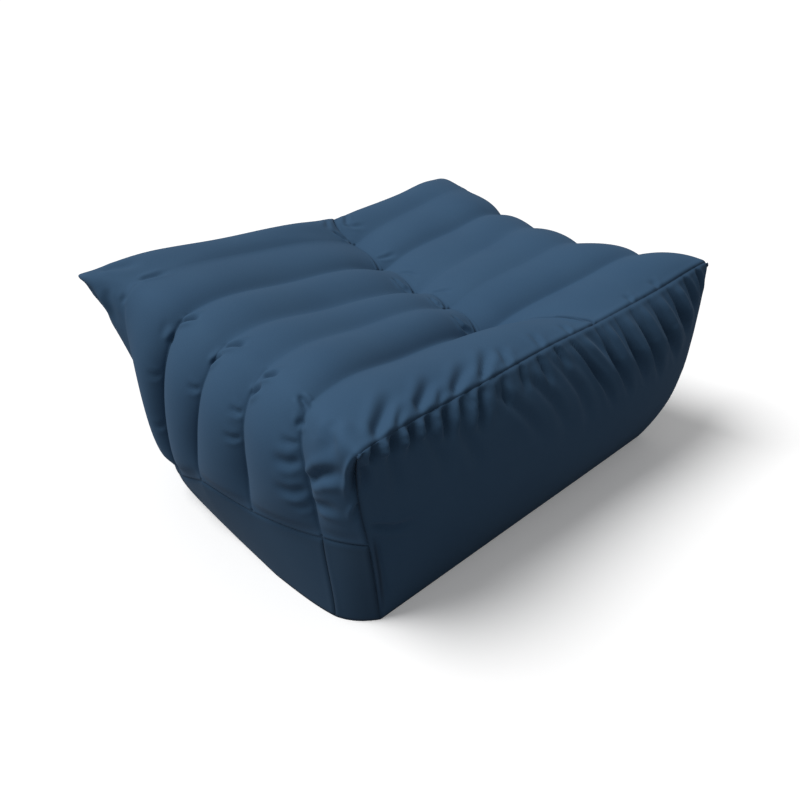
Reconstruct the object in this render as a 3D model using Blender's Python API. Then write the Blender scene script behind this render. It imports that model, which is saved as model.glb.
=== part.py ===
"""Channelled bean bag pouf, in metres, +Z up, standing on its flat bottom at the origin.

The cover's six channels run up the front, over the top and down the back. A seam across the
middle of the top pulls them in. Each side is closed by one gathered panel, and a plain band
in three pieces is sewn below the channels at the front and at the back.
"""
import bpy
import bmesh
import numpy as np

# Cloth and clearances
SHEET = 0.0025          # thickness of the panels and bands, seam allowance included
GAP = 0.0005            # clearance along X or Y between two pieces
FOOT_CLEARANCE = 0.006  # share of the rise at which the panels and bands end above the floor
BASE_SEAM = 0.36        # share of the rise at which the base band meets the channels
SEAM_STEP = 0.008       # share of the rise that the step behind the base seam takes
PANEL_BULGE = 0.032     # how far the filling pushes the middle of a side panel out
BULGE_POWER_ALONG = 0.7 # below 1 the panel is fuller towards its ends
BULGE_POWER_UP = 0.8    # below 1 the panel is fuller towards its seams
ROLL_ROUNDNESS = 0.66   # 0.5 is a half ellipse, larger is more pinched at the valleys

# Fineness of the mesh
ROLLS = 6
CELLS_PER_ROLL = 6
CELLS_ALONG_TOP = 44
CELLS_BELOW_SEAM = 4
CELLS_ABOVE_SEAM = 8
TOP_CROWDING = 0.45     # how much closer the cells lie at the crests and at the mid seam
WELD = 0.00005          # points closer than this are one
SLOPE_STEP = 0.002      # share of a run over which its slope is measured

# Heights of the cover from the floor (rise 0) to the crest (rise 1), metres. "mid" is at the
# centre of the bag and "side" at its corner seam. outer_share is the part of the width that
# each of the two outer rolls takes, and puff is how far a roll stands out between its seams.
PROFILE_COLUMNS = ("rise", "mid_y", "mid_z", "side_y", "side_z", "half_width", "outer_share", "puff")
FRONT = np.array([
    (0.00, -0.464, 0.000, -0.404, 0.000, 0.345, 0.116, 0.000),
    (0.18, -0.468, 0.076, -0.419, 0.090, 0.350, 0.114, 0.004),
    (0.36, -0.470, 0.150, -0.438, 0.180, 0.356, 0.112, 0.009),
    (0.55, -0.468, 0.222, -0.454, 0.250, 0.360, 0.116, 0.030),
    (0.75, -0.466, 0.298, -0.468, 0.318, 0.368, 0.130, 0.036),
    (0.90, -0.454, 0.352, -0.478, 0.372, 0.380, 0.148, 0.036),
    (1.00, -0.424, 0.384, -0.487, 0.407, 0.390, 0.156, 0.036),
])
BACK = np.array([
    (0.00, 0.430, 0.000, 0.408, 0.000, 0.350, 0.120, 0.000),
    (0.18, 0.458, 0.070, 0.455, 0.080, 0.378, 0.122, 0.004),
    (0.36, 0.472, 0.140, 0.480, 0.160, 0.388, 0.126, 0.009),
    (0.55, 0.478, 0.212, 0.490, 0.236, 0.390, 0.138, 0.028),
    (0.75, 0.474, 0.286, 0.494, 0.308, 0.390, 0.148, 0.034),
    (0.90, 0.460, 0.338, 0.498, 0.364, 0.390, 0.154, 0.034),
    (1.00, 0.428, 0.370, 0.502, 0.403, 0.391, 0.156, 0.034),
])
# The top from the front crest (run 0) over the mid seam (run 0.5) to the back crest (run 1)
TOP = np.array([
    (0.00, -0.424, 0.384, -0.487, 0.407, 0.390, 0.156, 0.036),
    (0.08, -0.368, 0.400, -0.405, 0.404, 0.382, 0.156, 0.036),
    (0.28, -0.200, 0.396, -0.210, 0.398, 0.374, 0.156, 0.036),
    (0.42, -0.050, 0.372, 0.010, 0.393, 0.370, 0.158, 0.034),
    (0.50, 0.040, 0.332, 0.130, 0.387, 0.369, 0.160, 0.026),
    (0.58, 0.112, 0.362, 0.205, 0.388, 0.371, 0.158, 0.034),
    (0.78, 0.262, 0.380, 0.350, 0.392, 0.377, 0.156, 0.036),
    (0.93, 0.375, 0.384, 0.450, 0.399, 0.386, 0.156, 0.036),
    (1.00, 0.428, 0.370, 0.502, 0.403, 0.391, 0.156, 0.034),
])
TABLES = {"front": FRONT, "top": TOP, "back": BACK}

# How late across the width the mid profile gives way to the corner's (a power of the distance
# from the centre), in plan and in height, at the floor, at the crests and at the mid seam.
PLAN_POWER_FLOOR = 7.0
PLAN_POWER_CREST = 3.5
PLAN_POWER_MID = 6.0
HEIGHT_POWER_FLOOR = 2.0

# Reach of the crest's rounding over the top and down the faces, as shares of their runs, where
# the mid seam lies on the run over the top, and over how much of it one half's filling gives way
# to the other's
CREST_REACH_TOP = 0.14
CREST_REACH_FACE = 0.30
MID_RUN = 0.5
FILL_HANDOVER = 0.2

# How the shifts of LINES spread: the crest's fade down a face, the belly's height and width, and
# the share of the rise in which the foot's shift dies out
CREST_SHIFT_POWER = 2.5
BELLY_HEIGHT_POWER = 1.3
BELLY_WIDTH_POWER = 1.2
FOOT_SHIFT_REACH = 0.5

# Unevenness of the filled bag: how far each seam line is off the regular form, metres. The
# columns say where: at the crests, mid seam, belly of the front, base seam and foot.
LINE_COLUMNS = (
    "crest_x", "crest_y", "crest_z", "mid_x", "mid_y", "mid_z",
    "back_x", "back_y", "back_z", "belly_x", "belly_y",
    "base_x", "base_y", "base_z", "foot_x", "foot_y",
)
LINES = np.array([
    (0.000, 0.004, 0.031, 0.000, 0.000, 0.008, 0.000, -0.008, 0.012, 0.052, 0.070,
     0.000, 0.000, -0.060, 0.000, 0.030),
    (0.005, 0.000, 0.026, 0.020, 0.020, 0.013, 0.000, 0.042, 0.018, 0.008, 0.016,
     -0.010, 0.020, -0.045, 0.000, 0.035),
    (0.000, 0.000, 0.020, 0.005, 0.000, 0.015, 0.005, 0.032, 0.010, -0.012, 0.006,
     -0.045, 0.000, -0.034, 0.000, 0.022),
    (-0.010, -0.005, 0.008, -0.010, -0.005, 0.004, 0.000, 0.008, 0.006, -0.004, 0.000,
     -0.060, -0.016, -0.010, 0.000, 0.010),
    (-0.020, -0.010, 0.008, -0.030, -0.020, 0.018, -0.008, -0.012, 0.008, 0.000, 0.000,
     -0.040, -0.008, -0.018, 0.000, 0.000),
    (-0.024, -0.012, 0.020, -0.060, -0.040, -0.004, -0.004, 0.004, 0.018, 0.000, 0.000,
     -0.018, 0.000, 0.006, 0.020, 0.000),
    (0.000, 0.000, 0.000, 0.000, 0.000, 0.000, 0.000, 0.004, 0.000, 0.000, 0.000,
     0.000, 0.000, 0.012, 0.000, 0.000),
])
# Share of the puff by which the filling lifts each seam line's valley, on the front face, on the
# front half of the top, and on its back half and the back face
VALLEY_FILL = np.array([
    (0.00, 0.00, 0.00),
    (0.10, 0.50, 0.35),
    (0.10, 0.20, 0.10),
    (0.05, 0.15, 0.45),
    (0.05, 0.30, 0.40),
    (0.20, 0.10, 0.10),
    (0.00, 0.00, 0.00),
])

# Fullness of each roll against the tables' puff
ROLL_COLUMNS = ("on_faces", "on_top_front", "on_top_back")
FULLNESS = np.array([
    (0.65, 1.15, 0.95),
    (1.00, 1.05, 0.85),
    (1.00, 1.00, 0.68),
    (1.00, 1.00, 0.85),
    (1.00, 1.00, 0.78),
    (1.00, 1.00, 0.62),
])

# Creases that start at the top side seam. place is along the seam from the front, reach is how
# far the crease runs as a share of the panel's height or of the outer roll's width, and lean is
# its shift along the seam over that whole height or width.
CREASE_COLUMNS = ("place", "reach", "lean", "depth", "width")
CREASE_START = 0.10
PANEL_GATHERS = np.array([
    (0.10, 0.46, 0.02, 0.0035, 0.016),
    (0.19, 0.50, 0.03, 0.0045, 0.018),
    (0.30, 0.56, 0.04, 0.0050, 0.020),
    (0.41, 0.50, 0.06, 0.0050, 0.018),
    (0.53, 0.48, 0.09, 0.0055, 0.020),
    (0.64, 0.54, 0.12, 0.0065, 0.022),
    (0.75, 0.52, 0.14, 0.0060, 0.020),
    (0.86, 0.42, 0.15, 0.0045, 0.018),
])
TOP_PUCKERS = np.array([
    (0.09, 0.75, 0.02, 0.0065, 0.014),
    (0.16, 0.65, 0.02, 0.0055, 0.013),
    (0.24, 0.60, 0.02, 0.0050, 0.013),
    (0.33, 0.70, 0.01, 0.0055, 0.014),
    (0.42, 0.60, 0.00, 0.0045, 0.013),
    (0.60, 0.50, -0.01, 0.0040, 0.013),
    (0.80, 0.50, -0.02, 0.0040, 0.014),
])
# Tufts: where the stitching of a valley draws the crest in
TUFT_DEPTH = 0.010
TUFT_ON_FRONT = 0.93
TUFT_ON_TOP = 0.045
TUFT_LENGTH = 0.030
TUFT_WIDTH = 0.16

COLOURS = {
    "cloth_channels": (0.045, 0.094, 0.168, 1.0),
    "cloth_sides": (0.040, 0.084, 0.150, 1.0),
    "cloth_base": (0.036, 0.076, 0.138, 1.0),
}
CLOTH_ROUGHNESS = 0.9
SMOOTH_ANGLE = 0.9      # radians; sharper edges than this stay sharp


def clear_scene():
    """Remove what the file opens with."""
    for obj in list(bpy.data.objects):
        bpy.data.objects.remove(obj, do_unlink=True)


def ease(share):
    """Smooth step from 0 to 1."""
    share = np.clip(share, 0.0, 1.0)
    return share * share * (3.0 - 2.0 * share)


def between(start, end, share):
    """Straight blend of two values or arrays."""
    return start + (end - start) * share


def unit(vectors):
    """Vectors brought to length 1."""
    return vectors / np.linalg.norm(vectors, axis=-1, keepdims=True)


def through_rows(table, place):
    """Smooth curve through a table's rows, whose first column is the place."""
    knots = table[:, 0]
    values = table[:, 1:]
    spans = np.diff(knots)[:, None]
    rates = np.diff(values, axis=0) / spans
    slopes = np.zeros_like(values)
    slopes[1:-1] = (rates[:-1] * spans[1:] + rates[1:] * spans[:-1]) / (spans[1:] + spans[:-1])
    slopes[0] = 2.0 * rates[0] - slopes[1]
    slopes[-1] = 2.0 * rates[-1] - slopes[-2]
    row = np.clip(np.searchsorted(knots, place, side="right") - 1, 0, len(knots) - 2)
    span = (knots[row + 1] - knots[row])[..., None]
    s = (place - knots[row])[..., None] / span
    from_start = (2 * s**3 - 3 * s**2 + 1) * values[row] + (s**3 - 2 * s**2 + s) * span * slopes[row]
    from_end = (3 * s**2 - 2 * s**3) * values[row + 1] + (s**3 - s**2) * span * slopes[row + 1]
    return from_start + from_end


def line_shift(across, name):
    """A column of LINES, blended between the seam lines."""
    column = LINES[:, LINE_COLUMNS.index(name)]
    line = np.clip(np.floor(across).astype(int), 0, ROLLS - 1)
    return between(column[line], column[line + 1], across - line)


def line_weights(face, place):
    """How much each kind of shift in LINES counts along a face."""
    if face == "top":
        return {
            "crest": ease(1 - 2 * place),
            "mid": ease(1 - abs(2 * place - 1)),
            "back": ease(2 * place - 1),
        }
    near_crest = ease(place) ** CREST_SHIFT_POWER
    if face == "back":
        return {"back": near_crest}
    belly = np.sin(np.pi * np.clip(place, 0, 1) ** BELLY_HEIGHT_POWER) ** BELLY_WIDTH_POWER
    base = ease(place / BASE_SEAM) * ease((1 - place) / (1 - BASE_SEAM))
    foot = 1 - ease(place / FOOT_SHIFT_REACH)
    return {"crest": near_crest, "belly": belly, "base": base, "foot": foot}


def powers(face, place):
    """Powers that hand over from the mid profile to the corner's, in plan and in height."""
    if face == "top":
        at_mid = ease(1 - abs(2 * place - 1))
        power = between(PLAN_POWER_CREST, PLAN_POWER_MID, at_mid)
        return power, power
    plan = between(PLAN_POWER_FLOOR, PLAN_POWER_CREST, place)
    height = between(HEIGHT_POWER_FLOOR, PLAN_POWER_CREST, place)
    return plan, height


def base_surface(face, across, place):
    """Points of the cover without its rolls, and the puff there."""
    values = np.moveaxis(through_rows(TABLES[face], place), -1, 0)
    profile = dict(zip(PROFILE_COLUMNS[1:], values))
    outer = profile["outer_share"]
    inner = (1 - 2 * outer) / (ROLLS - 2)
    share = outer + (across - 1) * inner
    share = np.where(across < 1, across * outer, share)
    share = np.where(across > ROLLS - 1, 1 - (ROLLS - across) * outer, share)
    off_centre = 2 * share - 1
    plan_power, height_power = powers(face, place)
    in_plan = abs(off_centre) ** plan_power
    in_height = abs(off_centre) ** height_power
    points = np.stack([
        off_centre * profile["half_width"],
        between(profile["mid_y"], profile["side_y"], in_plan),
        between(profile["mid_z"], profile["side_z"], in_height),
    ], axis=-1)
    for kind, weight in line_weights(face, place).items():
        for axis, letter in enumerate("xyz"):
            name = kind + "_" + letter
            if name in LINE_COLUMNS:
                points[..., axis] += weight * line_shift(across, name)
    return points, profile["puff"]


def outward(face, across, place):
    """Direction that leads out of the bag, square to the run of the rolls."""
    before, _ = base_surface(face, across, np.clip(place - SLOPE_STEP, 0, 1))
    after, _ = base_surface(face, across, np.clip(place + SLOPE_STEP, 0, 1))
    run = after - before
    out = np.stack([np.zeros_like(place), -run[..., 2], run[..., 1]], axis=-1)
    return unit(-out if face == "back" else out)


def crest_blend(face, across, place):
    """Outward direction, shared by two faces where they meet at a crest."""
    out = outward(face, across, place)
    start, end = np.zeros_like(place), np.ones_like(place)
    if face == "top":
        near_front = 0.5 * ease(1 - place / CREST_REACH_TOP)
        near_back = 0.5 * ease(1 - (1 - place) / CREST_REACH_TOP)
        out = unit(between(out, outward("front", across, end), near_front[..., None]))
        return unit(between(out, outward("back", across, end), near_back[..., None]))
    top = outward("top", across, start if face == "front" else end)
    near_crest = 0.5 * ease(1 - (1 - place) / CREST_REACH_FACE)
    return unit(between(out, top, near_crest[..., None]))


def fullness(face, across, place):
    """Each roll's own fullness along its run."""
    roll = np.clip(np.floor(across).astype(int), 0, ROLLS - 1)
    low, front, back = (FULLNESS[roll, ROLL_COLUMNS.index(name)] for name in ROLL_COLUMNS)
    at_crest = between(low, front, 0.5)
    if face == "front":
        return between(low, at_crest, ease(place))
    if face == "back":
        return between(low, back, ease(place))
    return np.where(place < MID_RUN, between(at_crest, front, ease(place / CREST_REACH_TOP)), back)


def valley_fill(face, across, place):
    """Share of the puff by which the filling lifts the valleys, blended between the lines."""
    line = np.clip(np.floor(across).astype(int), 0, ROLLS - 1)
    shares = between(VALLEY_FILL[line], VALLEY_FILL[line + 1], (across - line)[..., None])
    front, top_front, top_back = np.moveaxis(shares, -1, 0)
    if face == "front":
        return between(front, top_front, ease(2 * place - 1))
    if face == "back":
        return top_back
    return between(top_front, top_back, ease((place - MID_RUN) / FILL_HANDOVER + 0.5))


def tuft(face, across, place):
    """Depth of the tufts in the valleys at the front crest."""
    if face == "back":
        return np.zeros_like(place)
    centre = TUFT_ON_FRONT if face == "front" else TUFT_ON_TOP
    valley = np.clip(np.round(across), 1, ROLLS - 1)
    along = np.exp(-((place - centre) / TUFT_LENGTH) ** 2)
    return TUFT_DEPTH * along * np.exp(-((across - valley) / TUFT_WIDTH) ** 2)


def trough(row, along, away):
    """Depth of one soft crease that starts at a seam and runs away from it."""
    crease = dict(zip(CREASE_COLUMNS, row))
    in_reach = ease(away / CREASE_START) * ease(1 - away / crease["reach"])
    sideways = along - crease["place"] - crease["lean"] * away
    return crease["depth"] * in_reach * np.exp(-((sideways / crease["width"]) ** 2))


def top_puckers(across, place):
    """Depth of the puckers that run from the side seams up the outer rolls."""
    depth = np.zeros_like(place)
    from_seam = np.minimum(across, ROLLS - across)
    for row in TOP_PUCKERS:
        depth += trough(row, place, from_seam)
    return depth


def cover(face, across, place):
    """Points of the channelled cover. across counts the seam lines, 0 at the left corner."""
    points, puff = base_surface(face, across, place)
    in_roll = across - np.clip(np.floor(across), 0, ROLLS - 1)
    height = np.clip(1 - (2 * in_roll - 1) ** 2, 0, 1) ** ROLL_ROUNDNESS
    height = between(height, 1.0, valley_fill(face, across, place))
    height = height * puff * fullness(face, across, place) - tuft(face, across, place)
    if face == "top":
        height = height - top_puckers(across, place)
    return points + crest_blend(face, across, place) * height[..., None]


def panel_gathers(along, rise):
    """Depth of the gathers that hang from a side panel's top seam."""
    depth = np.zeros_like(along)
    down = 1 - rise
    for row in PANEL_GATHERS:
        depth += trough(row, along, down)
    return depth


def side_panel(sign, along, rise):
    """Points of a side panel: a patch between its four seams, pushed out by the filling."""
    across = np.full_like(along, ROLLS if sign > 0 else 0.0)
    start, end = np.zeros_like(along), np.ones_like(along)
    a, b = along[..., None], rise[..., None]
    front, back = cover("front", across, rise), cover("back", across, rise)
    top = cover("top", across, along)
    front_foot, back_foot = cover("front", across, start), cover("back", across, start)
    front_ear, back_ear = cover("front", across, end), cover("back", across, end)
    foot = between(front_foot, back_foot, a)
    corners = between(between(front_foot, front_ear, b), between(back_foot, back_ear, b), a)
    points = between(front, back, a) + between(foot, top, b) - corners
    height = np.clip(points[..., 2] / top[..., 2], 0, 1)
    bulge = np.sin(np.pi * along) ** BULGE_POWER_ALONG * np.sin(np.pi * height) ** BULGE_POWER_UP
    points[..., 0] += sign * (PANEL_BULGE * bulge - panel_gathers(along, rise))
    return points


def across_stations(first=0, last=ROLLS):
    """Places across the rolls, closer together towards each valley."""
    turn = np.pi * np.arange(CELLS_PER_ROLL) / CELLS_PER_ROLL
    inside = (1 - np.cos(turn)) / 2
    rolls = [roll + inside for roll in range(first, last)]
    return np.concatenate(rolls + [[float(last)]])


def rise_stations():
    """Shares of the rise: the rows below the base seam, and the rows from it to the crest."""
    below = np.linspace(0, BASE_SEAM - SEAM_STEP, CELLS_BELOW_SEAM + 1)
    above = np.linspace(BASE_SEAM, 1, CELLS_ABOVE_SEAM + 1)
    return below, above


def top_stations():
    """Shares of the run over the top, closer together at the crests and at the mid seam."""
    even = np.linspace(0, 1, CELLS_ALONG_TOP + 1)
    return even - TOP_CROWDING * np.sin(4 * np.pi * even) / (4 * np.pi)


def place_grid(bm, points):
    """Add a triangulated grid whose corners are the given rows and columns of points."""
    rows, columns = points.shape[0] - 1, points.shape[1] - 1
    made = bmesh.ops.create_grid(bm, x_segments=columns, y_segments=rows, size=1.0)
    faces = {face for vert in made["verts"] for face in vert.link_faces}
    for vert in made["verts"]:
        column = round((vert.co.x + 1) / 2 * columns)
        row = round((vert.co.y + 1) / 2 * rows)
        vert.co = points[row, column]
    bmesh.ops.triangulate(bm, faces=list(faces), quad_method="FIXED")


def cover_points(face):
    """Grid of the bag's own surface on one face, set back where a band covers it."""
    across = across_stations()
    if face == "top":
        places = top_stations()
    else:
        below, above = rise_stations()
        places = np.concatenate([below, above])
    grid_across, grid_place = np.meshgrid(across, places)
    points = cover(face, grid_across, grid_place)
    points[:, 0, 0] += SHEET + GAP
    points[:, -1, 0] -= SHEET + GAP
    if face != "top":
        inward = 1 if face == "front" else -1
        points[:CELLS_BELOW_SEAM + 1, :, 1] += inward * (SHEET + GAP)
    return points


def bag_side_points(sign):
    """Grid of the bag's own side, set back behind the panel, ending on the cover's edges."""
    below, above = rise_stations()
    along, rise = np.meshgrid(top_stations(), np.concatenate([below, above]))
    points = side_panel(sign, along, rise)
    points[..., 0] -= sign * (SHEET + GAP)
    points[:CELLS_BELOW_SEAM + 1, 0, 1] += SHEET + GAP
    points[:CELLS_BELOW_SEAM + 1, -1, 1] -= SHEET + GAP
    return points


def finish_object(name, bm, colour):
    """Make the object of a closed mesh, shaded smooth, with its own material."""
    bmesh.ops.recalc_face_normals(bm, faces=bm.faces)
    mesh = bpy.data.meshes.new(name)
    bm.to_mesh(mesh)
    bm.free()
    mesh.shade_smooth()
    mesh.set_sharp_from_angle(angle=SMOOTH_ANGLE)
    obj = bpy.data.objects.new(name, mesh)
    bpy.context.collection.objects.link(obj)
    material = bpy.data.materials.new(name + "_" + colour)
    material.use_nodes = True
    shader = material.node_tree.nodes["Principled BSDF"]
    shader.inputs["Base Color"].default_value = COLOURS[colour]
    shader.inputs["Roughness"].default_value = CLOTH_ROUGHNESS
    shader.inputs["Metallic"].default_value = 0.0
    mesh.materials.append(material)
    return obj


def make_bag():
    """The filled bag: its channels, crown, drawn-in sides and flat bottom in one solid."""
    bm = bmesh.new()
    for face in ("front", "top", "back"):
        place_grid(bm, cover_points(face))
    for sign in (-1, 1):
        place_grid(bm, bag_side_points(sign))
    bmesh.ops.remove_doubles(bm, verts=bm.verts, dist=WELD)
    rim = [edge for edge in bm.edges if edge.is_boundary]
    bmesh.ops.contextual_create(bm, geom=rim)
    return finish_object("channelled_bag", bm, "cloth_channels")


def make_sheet(name, points, inward, colour):
    """A cloth piece: its outer surface, thickened towards the bag."""
    bm = bmesh.new()
    place_grid(bm, points)
    thick = bmesh.ops.extrude_face_region(bm, geom=list(bm.faces), use_keep_orig=True)
    inner = [item for item in thick["geom"] if isinstance(item, bmesh.types.BMVert)]
    bmesh.ops.translate(bm, verts=inner, vec=inward)
    return finish_object(name, bm, colour)


def make_side_panel(sign):
    """One side panel, from its top seam down to just above the floor."""
    below, above = rise_stations()
    below[0] = FOOT_CLEARANCE
    along, rise = np.meshgrid(top_stations(), np.concatenate([below, above]))
    name = "side_panel_right" if sign > 0 else "side_panel_left"
    return make_sheet(name, side_panel(sign, along, rise), (-sign * SHEET, 0, 0), "cloth_sides")


def make_band(face, name, first, last):
    """One piece of the base band, between two seam lines."""
    rises, _ = rise_stations()
    rises[0] = FOOT_CLEARANCE
    grid_across, grid_rise = np.meshgrid(across_stations(first, last), rises)
    points = cover(face, grid_across, grid_rise)
    points[:, 0, 0] += SHEET + GAP if first == 0 else GAP / 2
    points[:, -1, 0] -= SHEET + GAP if last == ROLLS else GAP / 2
    inward = SHEET if face == "front" else -SHEET
    return make_sheet(name, points, (0, inward, 0), "cloth_base")


def centre_on_origin(objects):
    """Bring the middle of the whole bag's plan to the origin."""
    corners = np.array([vert.co for obj in objects for vert in obj.data.vertices])
    middle = (corners.min(axis=0) + corners.max(axis=0)) / 2
    for obj in objects:
        for vert in obj.data.vertices:
            vert.co.x -= middle[0]
            vert.co.y -= middle[1]


def main():
    clear_scene()
    pieces = [make_bag(), make_side_panel(-1), make_side_panel(1)]
    for face in ("front", "back"):
        pieces.append(make_band(face, "base_corner_" + face + "_left", 0, 1))
        pieces.append(make_band(face, "base_band_" + face, 1, ROLLS - 1))
        pieces.append(make_band(face, "base_corner_" + face + "_right", ROLLS - 1, ROLLS))
    centre_on_origin(pieces)


main()
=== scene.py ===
# %% [markdown]
# # A channelled bean bag pouf
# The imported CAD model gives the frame: a filled bag with six sewn channels, a gathered panel on
# each side and a plain band round the foot. Here each piece is dressed as cloth. The steps are
# camera and light first, then the cut and sewn shape of the cover, its filling by cloth
# simulation, the folds that hang from the seams, and last the blue cloth itself.
# Lengths are in metres throughout.

# %% Load the frame
import math
import bmesh
import bpy
import numpy as np
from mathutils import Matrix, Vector
from mathutils.kdtree import KDTree


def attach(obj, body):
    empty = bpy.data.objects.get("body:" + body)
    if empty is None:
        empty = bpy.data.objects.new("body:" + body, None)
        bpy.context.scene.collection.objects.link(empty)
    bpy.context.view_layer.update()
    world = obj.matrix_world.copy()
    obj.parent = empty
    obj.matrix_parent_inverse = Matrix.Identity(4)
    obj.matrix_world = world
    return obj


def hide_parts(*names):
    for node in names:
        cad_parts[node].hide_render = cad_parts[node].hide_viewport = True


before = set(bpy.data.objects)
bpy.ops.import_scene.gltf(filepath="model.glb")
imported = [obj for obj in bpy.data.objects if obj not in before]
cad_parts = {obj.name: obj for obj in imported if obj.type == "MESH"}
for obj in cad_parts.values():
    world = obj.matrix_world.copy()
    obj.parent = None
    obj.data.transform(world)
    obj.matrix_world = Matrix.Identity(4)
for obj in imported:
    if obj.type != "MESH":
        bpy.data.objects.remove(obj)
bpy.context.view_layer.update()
print("CAD nodes:", sorted(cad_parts))


def add_object(name, data):
    """A new object in the scene, made from a camera, a light or a mesh."""
    obj = bpy.data.objects.new(name, data)
    bpy.context.collection.objects.link(obj)
    return obj

# %% [markdown]
# ## Camera
# The pouf is seen from its front right corner and about 31 degrees above, from close by, so
# the near corner looks large. Camera and target are placed as points and the lens is given in
# millimetres, which is easier to read than a rotation. Blender would also take a tracking
# constraint, but a plain rotation stays as it is when another view moves the camera.

# %% Place the camera
CAMERA_PLACE = Vector((1.1133, -1.1338, 1.0795))
CAMERA_TARGET = Vector((0.06615, -0.09393, 0.18571))
LENS = 38.16
SENSOR_WIDTH = 36.0
NEAREST_SEEN = 0.05


def aim(obj, target):
    """Turn a camera or a light so that it looks at a point."""
    obj.rotation_euler = (target - obj.location).to_track_quat("-Z", "Y").to_euler()


camera = add_object("camera", bpy.data.cameras.new("camera"))
camera.location = CAMERA_PLACE
camera.data.lens = LENS
camera.data.sensor_width = SENSOR_WIDTH
camera.data.clip_start = NEAREST_SEEN
aim(camera, CAMERA_TARGET)
bpy.context.scene.camera = camera
print("Camera is", round((CAMERA_PLACE - CAMERA_TARGET).length, 3), "m from its target")

# %% [markdown]
# ## Floor and light
# A catalogue picture stands on white paper. One broad light from the left front and above lays the
# shadow to the right, so the channels' right flanks and the near side panel fall into shade,
# and the paper's own glow fills them a little. A sun lamp lights the whole floor alike, out to
# the horizon, and its wide angle softens the shadow. An area lamp would leave the floor grey
# in the distance. Behind the floor stands a backdrop as white as the paper.

# %% White paper
PAPER_WHITE = (0.98, 0.98, 0.98, 1.0)
PAPER_GLOW = 0.14
PAPER_BOUNCE = (0.25, 0.25, 0.26, 1.0)


def show_apart(tree, lighting, seen, output):
    """Show one shader to the camera and let the other one light the scene."""
    path = tree.nodes.new("ShaderNodeLightPath")
    either = tree.nodes.new("ShaderNodeMixShader")
    tree.links.new(path.outputs["Is Camera Ray"], either.inputs[0])
    tree.links.new(lighting.outputs[0], either.inputs[1])
    tree.links.new(seen.outputs[0], either.inputs[2])
    tree.links.new(either.outputs[0], tree.nodes[output].inputs["Surface"])


def white_paper():
    """Paper that looks white but throws little light back, as if black cards stood beside it."""
    paper = bpy.data.materials.new("white_paper")
    paper.use_nodes = True
    seen = paper.node_tree.nodes["Principled BSDF"]
    seen.inputs["Base Color"].default_value = PAPER_WHITE
    seen.inputs["Roughness"].default_value = 0.9
    seen.inputs["Specular IOR Level"].default_value = 0.1
    seen.inputs["Emission Color"].default_value = (1.0, 1.0, 1.0, 1.0)
    seen.inputs["Emission Strength"].default_value = PAPER_GLOW
    bounced = paper.node_tree.nodes.new("ShaderNodeBsdfDiffuse")
    bounced.inputs["Color"].default_value = PAPER_BOUNCE
    show_apart(paper.node_tree, bounced, seen, "Material Output")
    return paper


print("Paper bounces", PAPER_BOUNCE[0], "of the light that falls on it")

# %% Light the set
SUN_FROM = Vector((-0.31, -0.41, 0.86))
SUN_SPREAD = math.radians(33)
SUN_STRENGTH = 2.56
SUN_DISTANCE = 3.0
SURROUND_STRENGTH = 0.27
BACKDROP_COLOUR = (1.0, 1.0, 1.0, 1.0)
FLOOR_SIZE = 60.0

key_data = bpy.data.lights.new("key_light", "SUN")
key_data.angle = SUN_SPREAD
key_data.energy = SUN_STRENGTH
key = add_object("key_light", key_data)
key.location = SUN_FROM * SUN_DISTANCE
aim(key, Vector((0.0, 0.0, 0.0)))

world = bpy.data.worlds.new("white_studio")
world.use_nodes = True
surround = world.node_tree.nodes["Background"]
surround.inputs["Color"].default_value = (1.0, 1.0, 1.0, 1.0)
surround.inputs["Strength"].default_value = SURROUND_STRENGTH
backdrop = world.node_tree.nodes.new("ShaderNodeBackground")
backdrop.inputs["Color"].default_value = BACKDROP_COLOUR
show_apart(world.node_tree, surround, backdrop, "World Output")
bpy.context.scene.world = world
bpy.context.scene.view_settings.view_transform = "Standard"

bpy.ops.object.select_all(action="DESELECT")
bpy.ops.mesh.primitive_plane_add(size=FLOOR_SIZE, location=(0, 0, 0))
floor = bpy.context.object
floor.name = "floor"
floor.data.materials.append(white_paper())
print("Light comes from", tuple(round(part, 2) for part in SUN_FROM))

# %% [markdown]
# ## The cut of the cover
# The cover is one long channelled piece that runs up the front, over the top and down the
# back. Its form is written down as profiles, the heights and places of its middle and of its
# corner seam, with a table of how far each sewn line strays from the regular form, because a
# filled bag is never even. The numbers began as the CAD model's and were then fitted to the
# filled cloth in the photograph. Drawing such a surface from tables keeps every seam on the line
# that the tables give it, where sculpting would lose it.

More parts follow.
